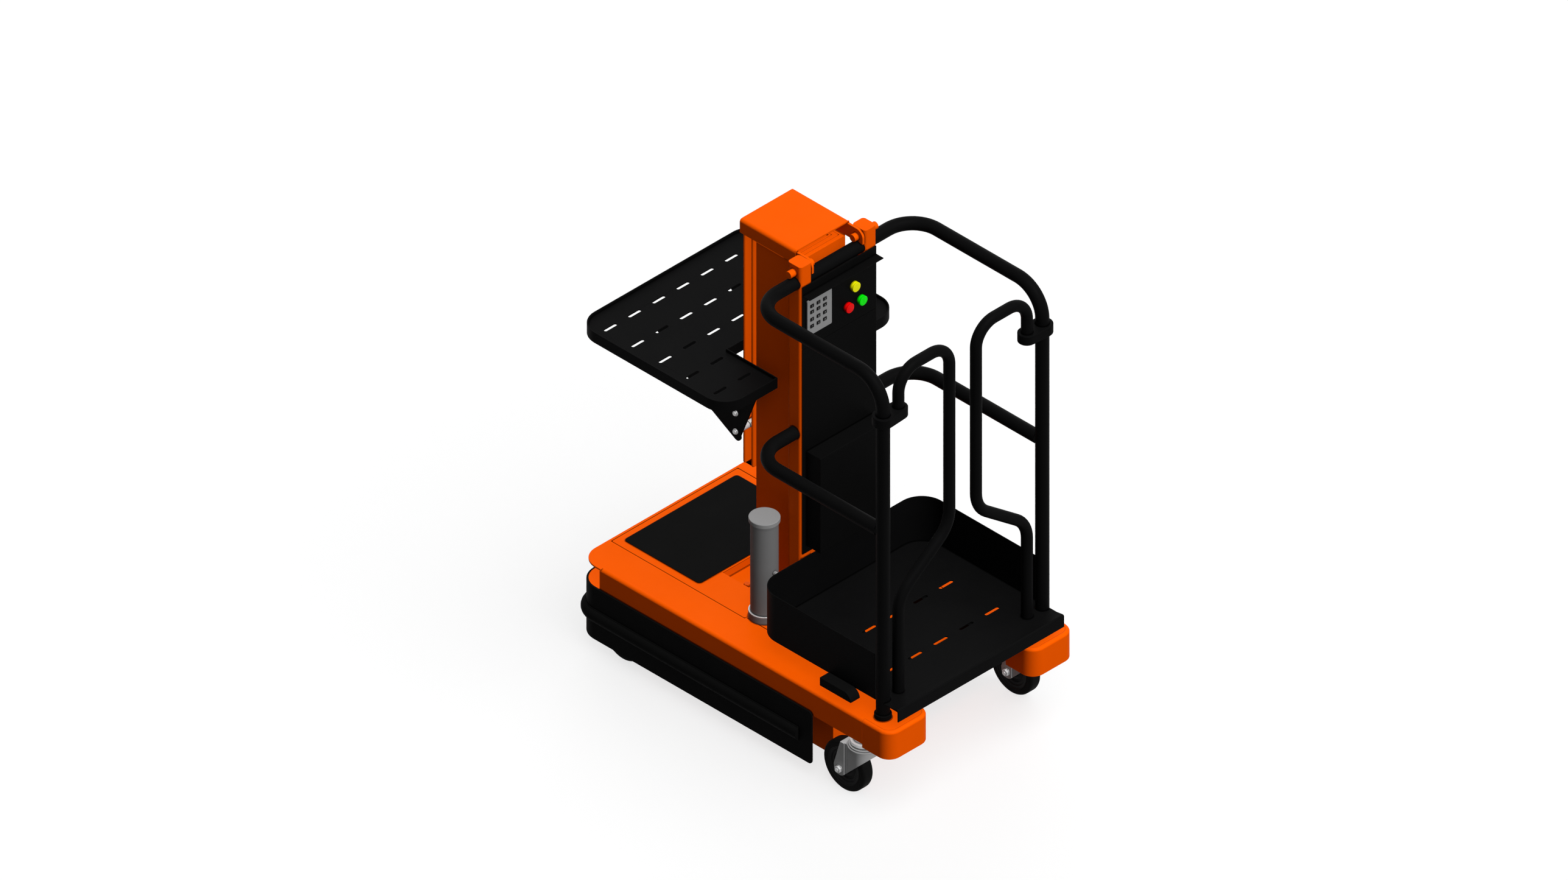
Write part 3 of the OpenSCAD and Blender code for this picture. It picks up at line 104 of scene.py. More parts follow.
class NodeBench:
    """Adds and wires the nodes of one tree."""

    def __init__(self, tree: bpy.types.NodeTree) -> None:
        """Take over a node tree.

        Args:
            tree: The tree of a material, a world or a node group.
        """
        self.tree = tree

    def find(self, kind: str) -> Node:
        """Give the node of a type that the tree starts with.

        Args:
            kind: The node's type.

        Returns:
            The node.
        """
        return next(n for n in self.tree.nodes if n.type == kind)

    def wire(self, value: object, target: Socket) -> None:
        """Join an output to an input, or set the input.

        Args:
            value: An output, a number, a vector or a colour.
            target: The input.
        """
        if isinstance(value, Socket):
            self.tree.links.new(value, target)
        elif target.type == "RGBA":
            target.default_value = (*value, 1.0)
        else:
            target.default_value = value

    def fill(self, node: Node, inputs: Dict[str, object]) -> Node:
        """Join or set a node's inputs.

        Args:
            node: The node.
            inputs: Outputs and values by the input's name.

        Returns:
            The same node.
        """
        for name, value in inputs.items():
            self.wire(value, node.inputs[name])
        return node

    def add(self, kind: str, inputs: Dict[str, object] | None = None, **settings: object) -> Node:
        """Add a node.

        Args:
            kind: The node's type name.
            inputs: Outputs and values for its inputs, by name.
            **settings: Properties of the node, by name.

        Returns:
            The new node.
        """
        node = self.tree.nodes.new(kind)
        for key, value in settings.items():
            setattr(node, key, value)
        return self.fill(node, inputs or {})

    def math(self, kind: str, first: object, second: object, clamp: bool = False) -> Socket:
        """Add a math node.

        Args:
            kind: The operation's name.
            first: An output or a number.
            second: An output or a number.
            clamp: Whether to keep the result between 0 and 1.

        Returns:
            The node's output.
        """
        node = self.add("ShaderNodeMath", operation=kind, use_clamp=clamp)
        self.wire(first, node.inputs[0])
        self.wire(second, node.inputs[1])
        return node.outputs[0]

    def ramp(self, value: object, start: object, gain: object) -> Socket:
        """Give how far a value is past a start, times a gain, between 0 and 1.

        Args:
            value: An output or a number.
            start: Where the ramp begins.
            gain: How steep it is.

        Returns:
            The ramped value.
        """
        return self.math("MULTIPLY", self.math("SUBTRACT", value, start), gain, clamp=True)

    def blend(self, factor: Socket, low: object, high: object) -> Socket:
        """Mix two colours.

        Args:
            factor: Where 0 gives the first colour and 1 the second.
            low: A colour or an output.
            high: A colour or an output.

        Returns:
            The mixed colour.
        """
        node = self.add("ShaderNodeMix", {"Factor": factor}, data_type="RGBA")
        for name, value in (("A", low), ("B", high)):
            self.wire(value, next(s for s in node.inputs if s.name == name and s.type == "RGBA"))
        return next(s for s in node.outputs if s.type == "RGBA")

    def spread(self, value: Socket, low: float, high: float) -> Socket:
        """Map a 0 to 1 value onto a range.

        Args:
            value: The value to map.
            low: The result at 0.
            high: The result at 1.

        Returns:
            The mapped value.
        """
        node = self.add("ShaderNodeMapRange", {"To Min": low, "To Max": high, "Value": value})
        return node.outputs["Result"]


class Effect(Enum):
    """Surface effects that several finishes share, each one node group."""

    MOTTLE = "Slow Mottle"
    GRAIN = "Fine Grain"
    WEAR = "Edge Wear"
    DUST = "Settled Dust"
    STREAK = "Long Streaks"
    # Painted shade: ambient occlusion darkens the colour in creases, gaps and where pieces meet.
    SEAM = "Painted Crease Shade"


class EffectShop:
    """Builds each shared effect once and places it in the materials."""

    def __init__(self) -> None:
        """Build every group."""
        self.groups: Dict[Effect, bpy.types.NodeTree] = {}
        for build in (self._mottle, self._grain, self._wear, self._dust, self._streak, self._painted_crease_shade):
            build()

    def place(self, bench: NodeBench, effect: Effect, **inputs: float) -> Socket:
        """Place an effect in a material.

        Args:
            bench: The bench of the material's tree.
            effect: Which effect it is.
            **inputs: Values of its inputs, by name.

        Returns:
            What the effect puts out.
        """
        return bench.add("ShaderNodeGroup", inputs, node_tree=self.groups[effect]).outputs[0]

    def _new(self, effect: Effect, inputs: Dict[str, float],
             output: str) -> Tuple[NodeBench, bpy.types.NodeOutputs, Socket]:
        """Start a group with its sockets.

        Args:
            effect: Which effect it is.
            inputs: Default value by input name.
            output: Name of its value output.

        Returns:
            The bench, the given values by name, and the socket that takes the result.
        """
        tree = bpy.data.node_groups.new(effect.value, "ShaderNodeTree")
        for name, value in inputs.items():
            socket = tree.interface.new_socket(name, in_out="INPUT", socket_type="NodeSocketFloat")
            socket.default_value = value
        tree.interface.new_socket(output, in_out="OUTPUT", socket_type="NodeSocketFloat")
        self.groups[effect] = tree
        bench = NodeBench(tree)
        return bench, bench.add("NodeGroupInput").outputs, bench.add("NodeGroupOutput").inputs[output]

    def _noise(self, bench: NodeBench, scale: Socket, detail: float, rough: float) -> Socket:
        """Add a noise texture on object coordinates.

        Args:
            bench: The bench to work on.
            scale: Cells per metre.
            detail: Number of octaves.
            rough: How strong the small octaves are.

        Returns:
            The noise value.
        """
        place = bench.add("ShaderNodeTexCoord").outputs["Object"]
        noise = bench.add("ShaderNodeTexNoise",
                          {"Vector": place, "Scale": scale, "Detail": detail, "Roughness": rough})
        return noise.outputs["Fac"]

    def _mottle(self) -> None:
        """Broad, soft tone changes, with a finer blotch over them."""
        finer, broad_share, fine_share, middle = 7.0, 0.7, 0.3, 0.5
        bench, given, made = self._new(Effect.MOTTLE, {"Scale": 4.0, "Contrast": 2.2}, "Tone")
        broad = self._noise(bench, given["Scale"], 3.0, 0.55)
        fine = self._noise(bench, bench.math("MULTIPLY", given["Scale"], finer), 2.0, 0.5)
        mixed = bench.math("ADD", bench.math("MULTIPLY", broad, broad_share),
                           bench.math("MULTIPLY", fine, fine_share))
        centred = bench.math("SUBTRACT", mixed, middle)
        pushed = bench.math("MULTIPLY", centred, given["Contrast"])
        bench.wire(bench.math("ADD", pushed, middle, clamp=True), made)

    def _grain(self) -> None:
        """The small bumps of a powder coat or a moulding."""
        coarser, share = 0.45, 0.6
        bench, given, made = self._new(Effect.GRAIN, {"Scale": 900.0}, "Height")
        place = bench.add("ShaderNodeTexCoord").outputs["Object"]
        cells = bench.add("ShaderNodeTexVoronoi",
                          {"Vector": place, "Scale": given["Scale"], "Smoothness": 0.8}, feature="SMOOTH_F1")
        waves = self._noise(bench, bench.math("MULTIPLY", given["Scale"], coarser), 3.0, 0.6)
        height = bench.math("ADD", bench.math("MULTIPLY", cells.outputs["Distance"], share),
                            bench.math("MULTIPLY", waves, share))
        bench.wire(height, made)

    def _wear(self) -> None:
        """Rubbed edges: where the rounded normal leaves the true one, broken up by noise."""
        gain, bare = 5.0, 0.42
        bench, given, made = self._new(Effect.WEAR, {"Width": 0.0025, "Breakup": 60.0}, "Mask")
        soft = bench.add("ShaderNodeBevel", {"Radius": given["Width"]}, samples=4)
        sharp = bench.add("ShaderNodeNewGeometry")
        dot = bench.add("ShaderNodeVectorMath", operation="DOT_PRODUCT")
        bench.wire(soft.outputs["Normal"], dot.inputs[0])
        bench.wire(sharp.outputs["Normal"], dot.inputs[1])
        edge = bench.ramp(1.0, dot.outputs["Value"], gain)
        broken = bench.ramp(self._noise(bench, given["Breakup"], 5.0, 0.65), bare, gain)
        bench.wire(bench.math("MULTIPLY", edge, broken), made)

    def _dust(self) -> None:
        """A thin film on faces that look up, thicker in patches."""
        steep, bare = 0.35, 0.3
        bench, given, made = self._new(Effect.DUST, {"Amount": 0.2, "Scale": 9.0}, "Mask")
        facing = bench.add("ShaderNodeNewGeometry").outputs["Normal"]
        split = bench.add("ShaderNodeSeparateXYZ", {"Vector": facing})
        up = bench.ramp(split.outputs["Z"], steep, 1.6)
        patch = bench.ramp(self._noise(bench, given["Scale"], 6.0, 0.62), bare, 1.7)
        film = bench.math("MULTIPLY", up, patch)
        bench.wire(bench.math("MULTIPLY", film, given["Amount"]), made)

    def _streak(self) -> None:
        """Fine lines drawn along Z, as brushing or drawing leaves them."""
        stretched = (1.0, 1.0, 0.02)
        bench, given, made = self._new(Effect.STREAK, {"Scale": 500.0}, "Line")
        place = bench.add("ShaderNodeTexCoord").outputs["Object"]
        along = bench.add("ShaderNodeMapping", {"Scale": stretched, "Vector": place}).outputs["Vector"]
        noise = bench.add("ShaderNodeTexNoise", {"Detail": 2.0, "Vector": along, "Scale": given["Scale"]})
        bench.wire(noise.outputs["Fac"], made)

    def _painted_crease_shade(self) -> None:
        """Painted shade: darkens the colour in creases, gaps and the lines where two pieces meet, by how
        closed in the surface is.
        """
        bench, given, made = self._new(Effect.SEAM, {"Reach": 0.005, "Onset": 0.96, "Gain": 4.5}, "Mask")
        closed = bench.add("ShaderNodeAmbientOcclusion", {"Distance": given["Reach"]}, samples=8)
        bench.wire(bench.ramp(given["Onset"], closed.outputs["AO"], given["Gain"]), made)


@dataclass(frozen=True)
class Finish:
    """One surface finish, from its two tones to its wear.

    Attributes:
        name: The material's name.
        slot: The record's material slot that it belongs to; not used.
        base: Main colour.
        shade: Second tone of the slow variation.
        rough: Mean roughness.
        rough_swing: How far the roughness wanders from its mean.
        mottle: Cells per metre of the slow variation.
        grain: Cells per metre of the fine bumps.
        bumps: The effect that gives their height.
        relief: Depth of the fine bumps in metres.
        strength: How much of that depth shows.
        metal: Metallic share.
        level: Specular level.
        wear: Strength of the rubbed edges.
        wear_tone: Colour of the rubbed edges.
        dust: Amount of settled dust.
        dust_tone: Colour of the dust.
        dust_rough: Roughness that full dust adds.
        crease_shade: Strength of the painted shade, a darker colour in creases, gaps and where pieces meet.
        crease_shade_tone: Share of the main colour that is left in that painted shade.
        bleed: Share of its colour that it throws onto its neighbours.
    """

    name: str
    slot: str
    base: Colour
    shade: Colour
    rough: float = 0.5
    rough_swing: float = 0.06
    mottle: float = 4.0
    grain: float = 900.0
    bumps: Effect = Effect.GRAIN
    relief: float = 0.00008
    strength: float = 0.6
    metal: float = 0.0
    level: float = 0.5
    wear: float = 0.0
    wear_tone: Colour = (0.6, 0.6, 0.6)
    dust: float = 0.0
    dust_tone: Colour = (0.32, 0.31, 0.29)
    dust_rough: float = 0.5
    # Painted shade in creases and joins, and how much of the colour it leaves there.
    crease_shade: float = 0.75
    crease_shade_tone: float = 0.12
    bleed: float = 1.0

    def make(self, shop: EffectShop) -> bpy.types.Material:
        """Build the material.

        Args:
            shop: Where the shared effects come from.

        Returns:
            The new material.
        """
        material = bpy.data.materials.new(self.name)
        material.use_nodes = True
        material.diffuse_color = (*self.base, 1.0)
        bench = NodeBench(material.node_tree)
        tone = shop.place(bench, Effect.MOTTLE, Scale=self.mottle)
        colour = bench.blend(tone, self.base, self.shade)
        rough = bench.spread(tone, self.rough - self.rough_swing, self.rough + self.rough_swing)
        if self.wear:
            mask = bench.math("MULTIPLY", shop.place(bench, Effect.WEAR), self.wear)
            colour = bench.blend(mask, colour, self.wear_tone)
        if self.dust:
            film = shop.place(bench, Effect.DUST, Amount=self.dust)
            colour = bench.blend(film, colour, self.dust_tone)
            rough = bench.math("ADD", rough, bench.math("MULTIPLY", film, self.dust_rough), clamp=True)
        # Painted shade: darken the colour where the surface is closed in, at creases, gaps and joins.
        if self.crease_shade:
            mask = bench.math("MULTIPLY", shop.place(bench, Effect.SEAM), self.crease_shade)
            colour = bench.blend(mask, colour, tuple(c * self.crease_shade_tone for c in self.base))
        if self.bleed < 1.0:
            thrown = bench.add("ShaderNodeLightPath").outputs["Is Diffuse Ray"]
            colour = bench.blend(thrown, colour, tuple(c * self.bleed for c in self.base))
        height = shop.place(bench, self.bumps, Scale=self.grain)
        bump = bench.add("ShaderNodeBump",
                         {"Strength": self.strength, "Distance": self.relief, "Height": height})
        bench.fill(bench.find("BSDF_PRINCIPLED"),
                   {"Metallic": self.metal, "Specular IOR Level": self.level, "Base Color": colour,
                    "Roughness": rough, "Normal": bump.outputs["Normal"]})
        return material


ORANGE = Finish("Orange powder coat", "orange_coat", (1.0, 0.114, 0.0), (0.96, 0.105, 0.0), grain=700,
                relief=0.00005, level=0.012, wear=0.25, wear_tone=(1.0, 0.2, 0.03), dust=0.006, crease_shade=0.85,
                bleed=0.3)
PAINTED_BOLT = Finish("Painted bolts", "zinc", (0.8, 0.09, 0.0), (0.74, 0.08, 0.0), grain=700, relief=0.00005,
                      level=0.05)
BLACK_COAT = Finish("Black powder coat", "black_coat", (0.0038, 0.0038, 0.0039), (0.0047, 0.0047, 0.0048),
                    grain=1100, level=0.008, wear=0.25, wear_tone=(0.016, 0.016, 0.016), dust=0.003)
PANEL_BLACK = Finish("Satin black panel", "panel_black", (0.0038, 0.0038, 0.0038), (0.0044, 0.0044, 0.0044),
                     rough=0.46, grain=1400, relief=0.00004, level=0.006, wear=0.2,
                     wear_tone=(0.018, 0.018, 0.018))
SKIRT_BLACK = Finish("Matt black skirt", "skirt_black", (0.0043, 0.0043, 0.0043), (0.0052, 0.0052, 0.0052),
                     rough=0.62, grain=500, relief=0.0001, level=0.008, dust=0.003)
RUBBER = Finish("Moulded rubber", "black_rubber", (0.0042, 0.0042, 0.0042), (0.0053, 0.0053, 0.0052),
                rough=0.7, rough_swing=0.08, grain=600, relief=0.00012, level=0.01, dust=0.003)
TYRE = Finish("Tyre rubber", "wheel_rubber", (0.005, 0.005, 0.005), (0.0068, 0.0068, 0.0066), rough=0.66,
              rough_swing=0.1, mottle=18, grain=800, relief=0.00012, level=0.02, dust=0.006)
HUB = Finish("Hub moulding", "wheel_rubber", (0.0052, 0.0052, 0.0052), (0.0066, 0.0066, 0.0066), rough=0.45,
             grain=1200, relief=0.00005, level=0.03)
TANK_GREY = Finish("Grey enamel", "grey_paint", (0.2, 0.2, 0.2), (0.185, 0.185, 0.186), rough=0.42,
                   relief=0.00004, level=0.03, wear=0.25, wear_tone=(0.4, 0.4, 0.4), dust=0.005)
LID_GREY = Finish("Grey lid", "grey_paint", (0.31, 0.31, 0.31), (0.285, 0.285, 0.286), rough=0.42,
                  relief=0.00004, level=0.03, wear=0.25, wear_tone=(0.5, 0.5, 0.5), dust=0.005)
ZINC = Finish("Zinc plate", "zinc", (0.5, 0.5, 0.5), (0.45, 0.45, 0.453), rough=0.42, mottle=30, grain=800,
              bumps=Effect.STREAK, relief=0.00002, level=0.06)
BRIGHT_ZINC = Finish("Bright zinc", "zinc", (0.8, 0.8, 0.8), (0.72, 0.72, 0.73), rough=0.32, mottle=30,
                     grain=800, bumps=Effect.STREAK, relief=0.00002, metal=0.25, level=0.4)
CHROME = Finish("Ground chrome", "ground_steel", (0.72, 0.72, 0.73), (0.66, 0.66, 0.68), rough=0.16,
                rough_swing=0.04, grain=1500, bumps=Effect.STREAK, relief=0.00001, metal=1.0)
NYLON = Finish("White nylon", "nylon", (0.78, 0.78, 0.74), (0.7, 0.7, 0.66), rough=0.45, grain=600,
               relief=0.00006, level=0.2)
KEYPAD = Finish("Anodised keypad plate", "keypad_grey", (0.31, 0.31, 0.31), (0.285, 0.285, 0.287),
                rough=0.42, grain=1500, bumps=Effect.STREAK, relief=0.00002, level=0.08)
KEY = Finish("Silicone keys", "key_black", (0.005, 0.005, 0.005), (0.006, 0.006, 0.006), rough=0.55,
             grain=1500, relief=0.00003, level=0.04)
MARK = Finish("Key marking", "keypad_grey", (0.3, 0.3, 0.3), (0.27, 0.27, 0.27), grain=1500,
              relief=0.00001, level=0.05, crease_shade=0.0)
YELLOW = Finish("Yellow button", "yellow_plastic", (1.0, 0.97, 0.003), (0.96, 0.93, 0.003), rough=0.28,
                grain=1500, relief=0.00001, level=0.08)
GREEN = Finish("Green button", "green_plastic", (0.002, 0.98, 0.004), (0.002, 0.92, 0.004), rough=0.28,
               grain=1500, relief=0.00001, level=0.08)
RED = Finish("Red button", "red_plastic", (0.95, 0.003, 0.003), (0.88, 0.002, 0.002), rough=0.28, grain=1500,
             relief=0.00001, level=0.08)
CASE = Finish("Battery case", "battery_case", (0.008, 0.008, 0.008), (0.011, 0.011, 0.011), grain=700,
              relief=0.0001, level=0.1)


class FinishShop:
    """Makes each finish once and paints pieces with it."""

    def __init__(self) -> None:
        """Build the shared effects."""
        self.effects = EffectShop()
        self.made: Dict[str, bpy.types.Material] = {}

    def paint(self, piece: Piece, finish: Finish) -> None:
        """Give a piece one finish all over.

        Args:
            piece: The object to paint.
            finish: Its finish.
        """
        if finish.name not in self.made:
            self.made[finish.name] = finish.make(self.effects)
        piece.data.materials.clear()
        piece.data.materials.append(self.made[finish.name])


@dataclass
class Workshop:
    """Modelling steps on the bench, each as it is done by hand.

    Attributes:
        finishes: Where finishes come from.
        merge: Points closer than this many metres become one.
        flat: Faces within this many degrees of each other become one.
        wall: Wall thickness of the tubes.
        facets: Number of facets round a tube.
        bend_step: Degrees that one facet along a bend covers.
        count: How many pieces are finished.
    """

    finishes: FinishShop
    merge: float = 0.00001
    flat: float = 0.4
    wall: float = 3.0
    facets: int = 40
    bend_step: float = 6.0
    count: int = 0

    @staticmethod
    def object_mode() -> None:
        """Leave edit mode and deselect everything."""
        if bpy.context.object is not None and bpy.context.object.mode != "OBJECT":
            bpy.ops.object.mode_set(mode="OBJECT")
        bpy.ops.object.select_all(action="DESELECT")

    def pick(self, piece: Piece) -> None:
        """Select one object alone and make it active.

        Args:
            piece: The object.
        """
        self.object_mode()
        piece.select_set(True)
        bpy.context.view_layer.objects.active = piece

    def edit(self, piece: Piece) -> None:
        """Enter edit mode on a piece with all of it selected.

        Args:
            piece: The object to edit.
        """
        self.pick(piece)
        bpy.ops.object.mode_set(mode="EDIT")
        bpy.ops.mesh.select_all(action="SELECT")

    @staticmethod
    def choose(piece: Piece, test: Callable[[bmesh.types.BMVert], bool]) -> None:
        """Select the points of a piece in edit mode that pass a test, and no others.

        Args:
            piece: The object that is edited.
            test: Says of a point whether it is wanted.
        """
        bpy.ops.mesh.select_all(action="DESELECT")
        mesh = bmesh.from_edit_mesh(piece.data)
        for vert in mesh.verts:
            vert.select = test(vert)
        bmesh.update_edit_mesh(piece.data)

    def settle(self, piece: Piece) -> None:
        """Move a piece's place into its mesh, so that the object sits at the origin.

        Args:
            piece: The object.
        """
        self.pick(piece)
        bpy.ops.object.transform_apply(location=True, rotation=True, scale=True)

    def apply(self, piece: Piece, kind: str, **settings: object) -> None:
        """Add a modifier, set it and apply it.

        Args:
            piece: The object that it works on.
            kind: The modifier's type.
            **settings: Its properties.
        """
        self.pick(piece)
        modifier = piece.modifiers.new(kind.title(), kind)
        for key, value in settings.items():
            setattr(modifier, key, value)
        bpy.ops.object.modifier_apply(modifier=modifier.name)

    def round_edges(self, piece: Piece, width: float, segments: int = 2, angle: float = 40.0) -> None:
        """Round every edge that is sharper than an angle.

        Args:
            piece: The object to round.
            width: Width of the rounding in millimetres.
            segments: Number of facets across it.
            angle: Edges flatter than this many degrees stay.
        """
        self.apply(piece, "BEVEL", width=width * MM, segments=segments, limit_method="ANGLE",
                   angle_limit=math.radians(angle), use_clamp_overlap=False, miter_outer="MITER_ARC")

    def smooth(self, piece: Piece, angle: float = 32.0) -> None:
        """Shade a piece smooth, with its sharp edges and its flat faces kept.

        Args:
            piece: The object.
            angle: Edges sharper than this many degrees stay sharp.
        """
        self.pick(piece)
        bpy.ops.object.shade_smooth_by_angle(angle=math.radians(angle), keep_sharp_edges=False)
        self.apply(piece, "WEIGHTED_NORMAL", weight=60, keep_sharp=True)

    def clean(self, piece: Piece) -> None:
        """Merge doubled points and turn all faces outwards.

        Args:
            piece: The object.
        """
        self.edit(piece)
        bpy.ops.mesh.remove_doubles(threshold=self.merge)
        bpy.ops.mesh.normals_make_consistent(inside=False)
        self.object_mode()

    def cut(self, piece: Piece, low: Vector, high: Vector) -> None:
        """Cut a box out of a piece.

        Args:
            piece: The object to cut.
            low: The box's lowest corner, in metres.
            high: Its highest corner.
        """
        self.object_mode()
        bpy.ops.mesh.primitive_cube_add(size=1.0, location=(low + high) / 2, scale=high - low)
        blade = bpy.context.object
        self.settle(blade)
        self.apply(piece, "BOOLEAN", operation="DIFFERENCE", solver="EXACT", object=blade)
        bpy.data.objects.remove(blade)

    def from_node(self, node: str) -> Piece:
        """Copy a node's mesh as the blank of its finished piece.

        Args:
            node: The node's name.

        Returns:
            The copy, with its points merged and its flat faces joined.
        """
        piece = bpy.data.objects.new(node + "_finished", frame["nodes"][node].data.copy())
        bpy.context.scene.collection.objects.link(piece)
        self.edit(piece)
        bpy.ops.mesh.remove_doubles(threshold=self.merge)
        bpy.ops.mesh.dissolve_limited(angle_limit=math.radians(self.flat))
        self.object_mode()
        return piece

    @staticmethod
    def run(step: Sequence[float]) -> None:
        """Extrude what is selected in edit mode along a straight line.

        Args:
            step: The move in metres.
        """
        bpy.ops.mesh.extrude_region_move(TRANSFORM_OT_translate={"value": step})

    def draw(self, name: str, points: Sequence[Vector], closed: bool = False) -> Piece:
        """Draw a chain of points by extruding each from the last.

        Args:
            name: The piece's name.
            points: The chain, in metres.
            closed: Whether the last point joins the first.

        Returns:
            The object, left in edit mode with the whole chain selected.
        """
        self.object_mode()
        bpy.ops.mesh.primitive_plane_add(size=0.002, location=points[0])
        piece = bpy.context.object
        piece.name = name
        self.settle(piece)
        self.edit(piece)
        bpy.ops.mesh.merge(type="CENTER")
        for before, after in zip(points, points[1:]):
            self.run(after - before)
        if closed:
            self.choose(piece, lambda vert: len(vert.link_edges) == 1)
            bpy.ops.mesh.edge_face_add()
        bpy.ops.mesh.select_all(action="SELECT")
        return piece

    def turn(self, name: str, outline: Outline, centre: Vector, axis: str, steps: int, angle: float) -> Piece:
        """Turn an outline round an axis, as on a lathe.

        Args:
            name: The piece's name.
            outline: Points as radius and height along the axis, in millimetres, open or closed.
            centre: Where radius and height are 0, in metres.
            axis: X, Y or Z.
            steps: Number of facets round the axis.
            angle: Edges sharper than this many degrees stay sharp.

        Returns:
            The closed, turned piece.
        """
        along, across = {"X": (RIGHT, UP), "Y": (AHEAD, UP), "Z": (UP, RIGHT)}[axis]
        piece = self.draw(name, [centre + across * (r * MM) + along * (h * MM) for r, h in outline])
        bpy.ops.mesh.spin(steps=steps, angle=math.tau, center=centre, axis=along, use_auto_merge=True)
        self.clean(piece)
        self.smooth(piece, angle)
        return piece

    def tube(self, name: str, start: Vector, heading: Vector, radius: float, moves: Sequence[Tuple]) -> Piece:
        """Bend a tube: a circle extruded along each run and spun round each bend.

        Args:
            name: The piece's name.
            start: Centre of the tube's first end, in metres.
            heading: Direction of the first run.
            radius: Outer radius in millimetres.
            moves: ("run", length) or ("bend", radius, degrees, axis), in millimetres. The bend's centre
                lies on the side that a right-handed turn about the axis heads for.

        Returns:
            The tube with its wall.
        """
        self.object_mode()
        bpy.ops.mesh.primitive_circle_add(vertices=self.facets, radius=radius * MM, location=start,
                                          rotation=heading.to_track_quat("Z", "Y").to_euler())
        piece = bpy.context.object
        piece.name = name
        self.settle(piece)
        self.edit(piece)
        place, way = start.copy(), heading.normalized()
        for kind, size, *turned in moves:
            if kind == "run":
                step = way * (size * MM)
                self.run(step)
                place = place + step
                continue
            degrees, axis = turned[0], turned[1].normalized()
            centre = place + axis.cross(way) * (size * MM)
            steps = int(degrees / self.bend_step)
            bpy.ops.mesh.spin(steps=steps, angle=-math.radians(degrees), center=centre, axis=axis)
            spun = Matrix.Rotation(math.radians(degrees), 3, axis)
            place = centre + spun @ (place - centre)
            way = (spun @ way).normalized()
        self.clean(piece)
        self.apply(piece, "SOLIDIFY", thickness=self.wall * MM, offset=-1.0)
        self.smooth(piece, 40)
        return piece

    def finish(self, piece: Piece, body: str, finish: Finish, replaces: Sequence[str] = ()) -> None:
        """Paint a piece, put it on its body and hide the nodes that it stands for.

        Args:
            piece: The finished mesh.
            body: The body that it rides on.
            finish: Its finish.
            replaces: The nodes that it stands for.
        """
        self.object_mode()
        self.finishes.paint(piece, finish)
        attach(piece, body)
        if replaces:
            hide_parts(*replaces)
        self.count += 1
        LOG.info("%s on %s in %s", piece.name, body, finish.name)

    def dress(self, node: str, finish: Finish, rounding: float, segments: int = 2) -> None:
        """Make the finished piece of a node: its solid with rounded edges and its finish.

        Args:
            node: The node's name.
            finish: Its finish.
            rounding: Width of the rounding in millimetres.
            segments: Number of facets across it.
        """
        piece = self.from_node(node)
        self.round_edges(piece, rounding, segments)
        self.smooth(piece)
        self.finish(piece, frame["nodes"][node]["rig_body"], finish, [node])

    def coat(self, node: str, finish: Finish) -> None:
        """Give a node that stays as it is its finish.

        Args:
            node: The node's name.
            finish: Its finish.
        """
        self.finishes.paint(frame["nodes"][node], finish)
        LOG.info("%s stays, in %s", node, finish.name)


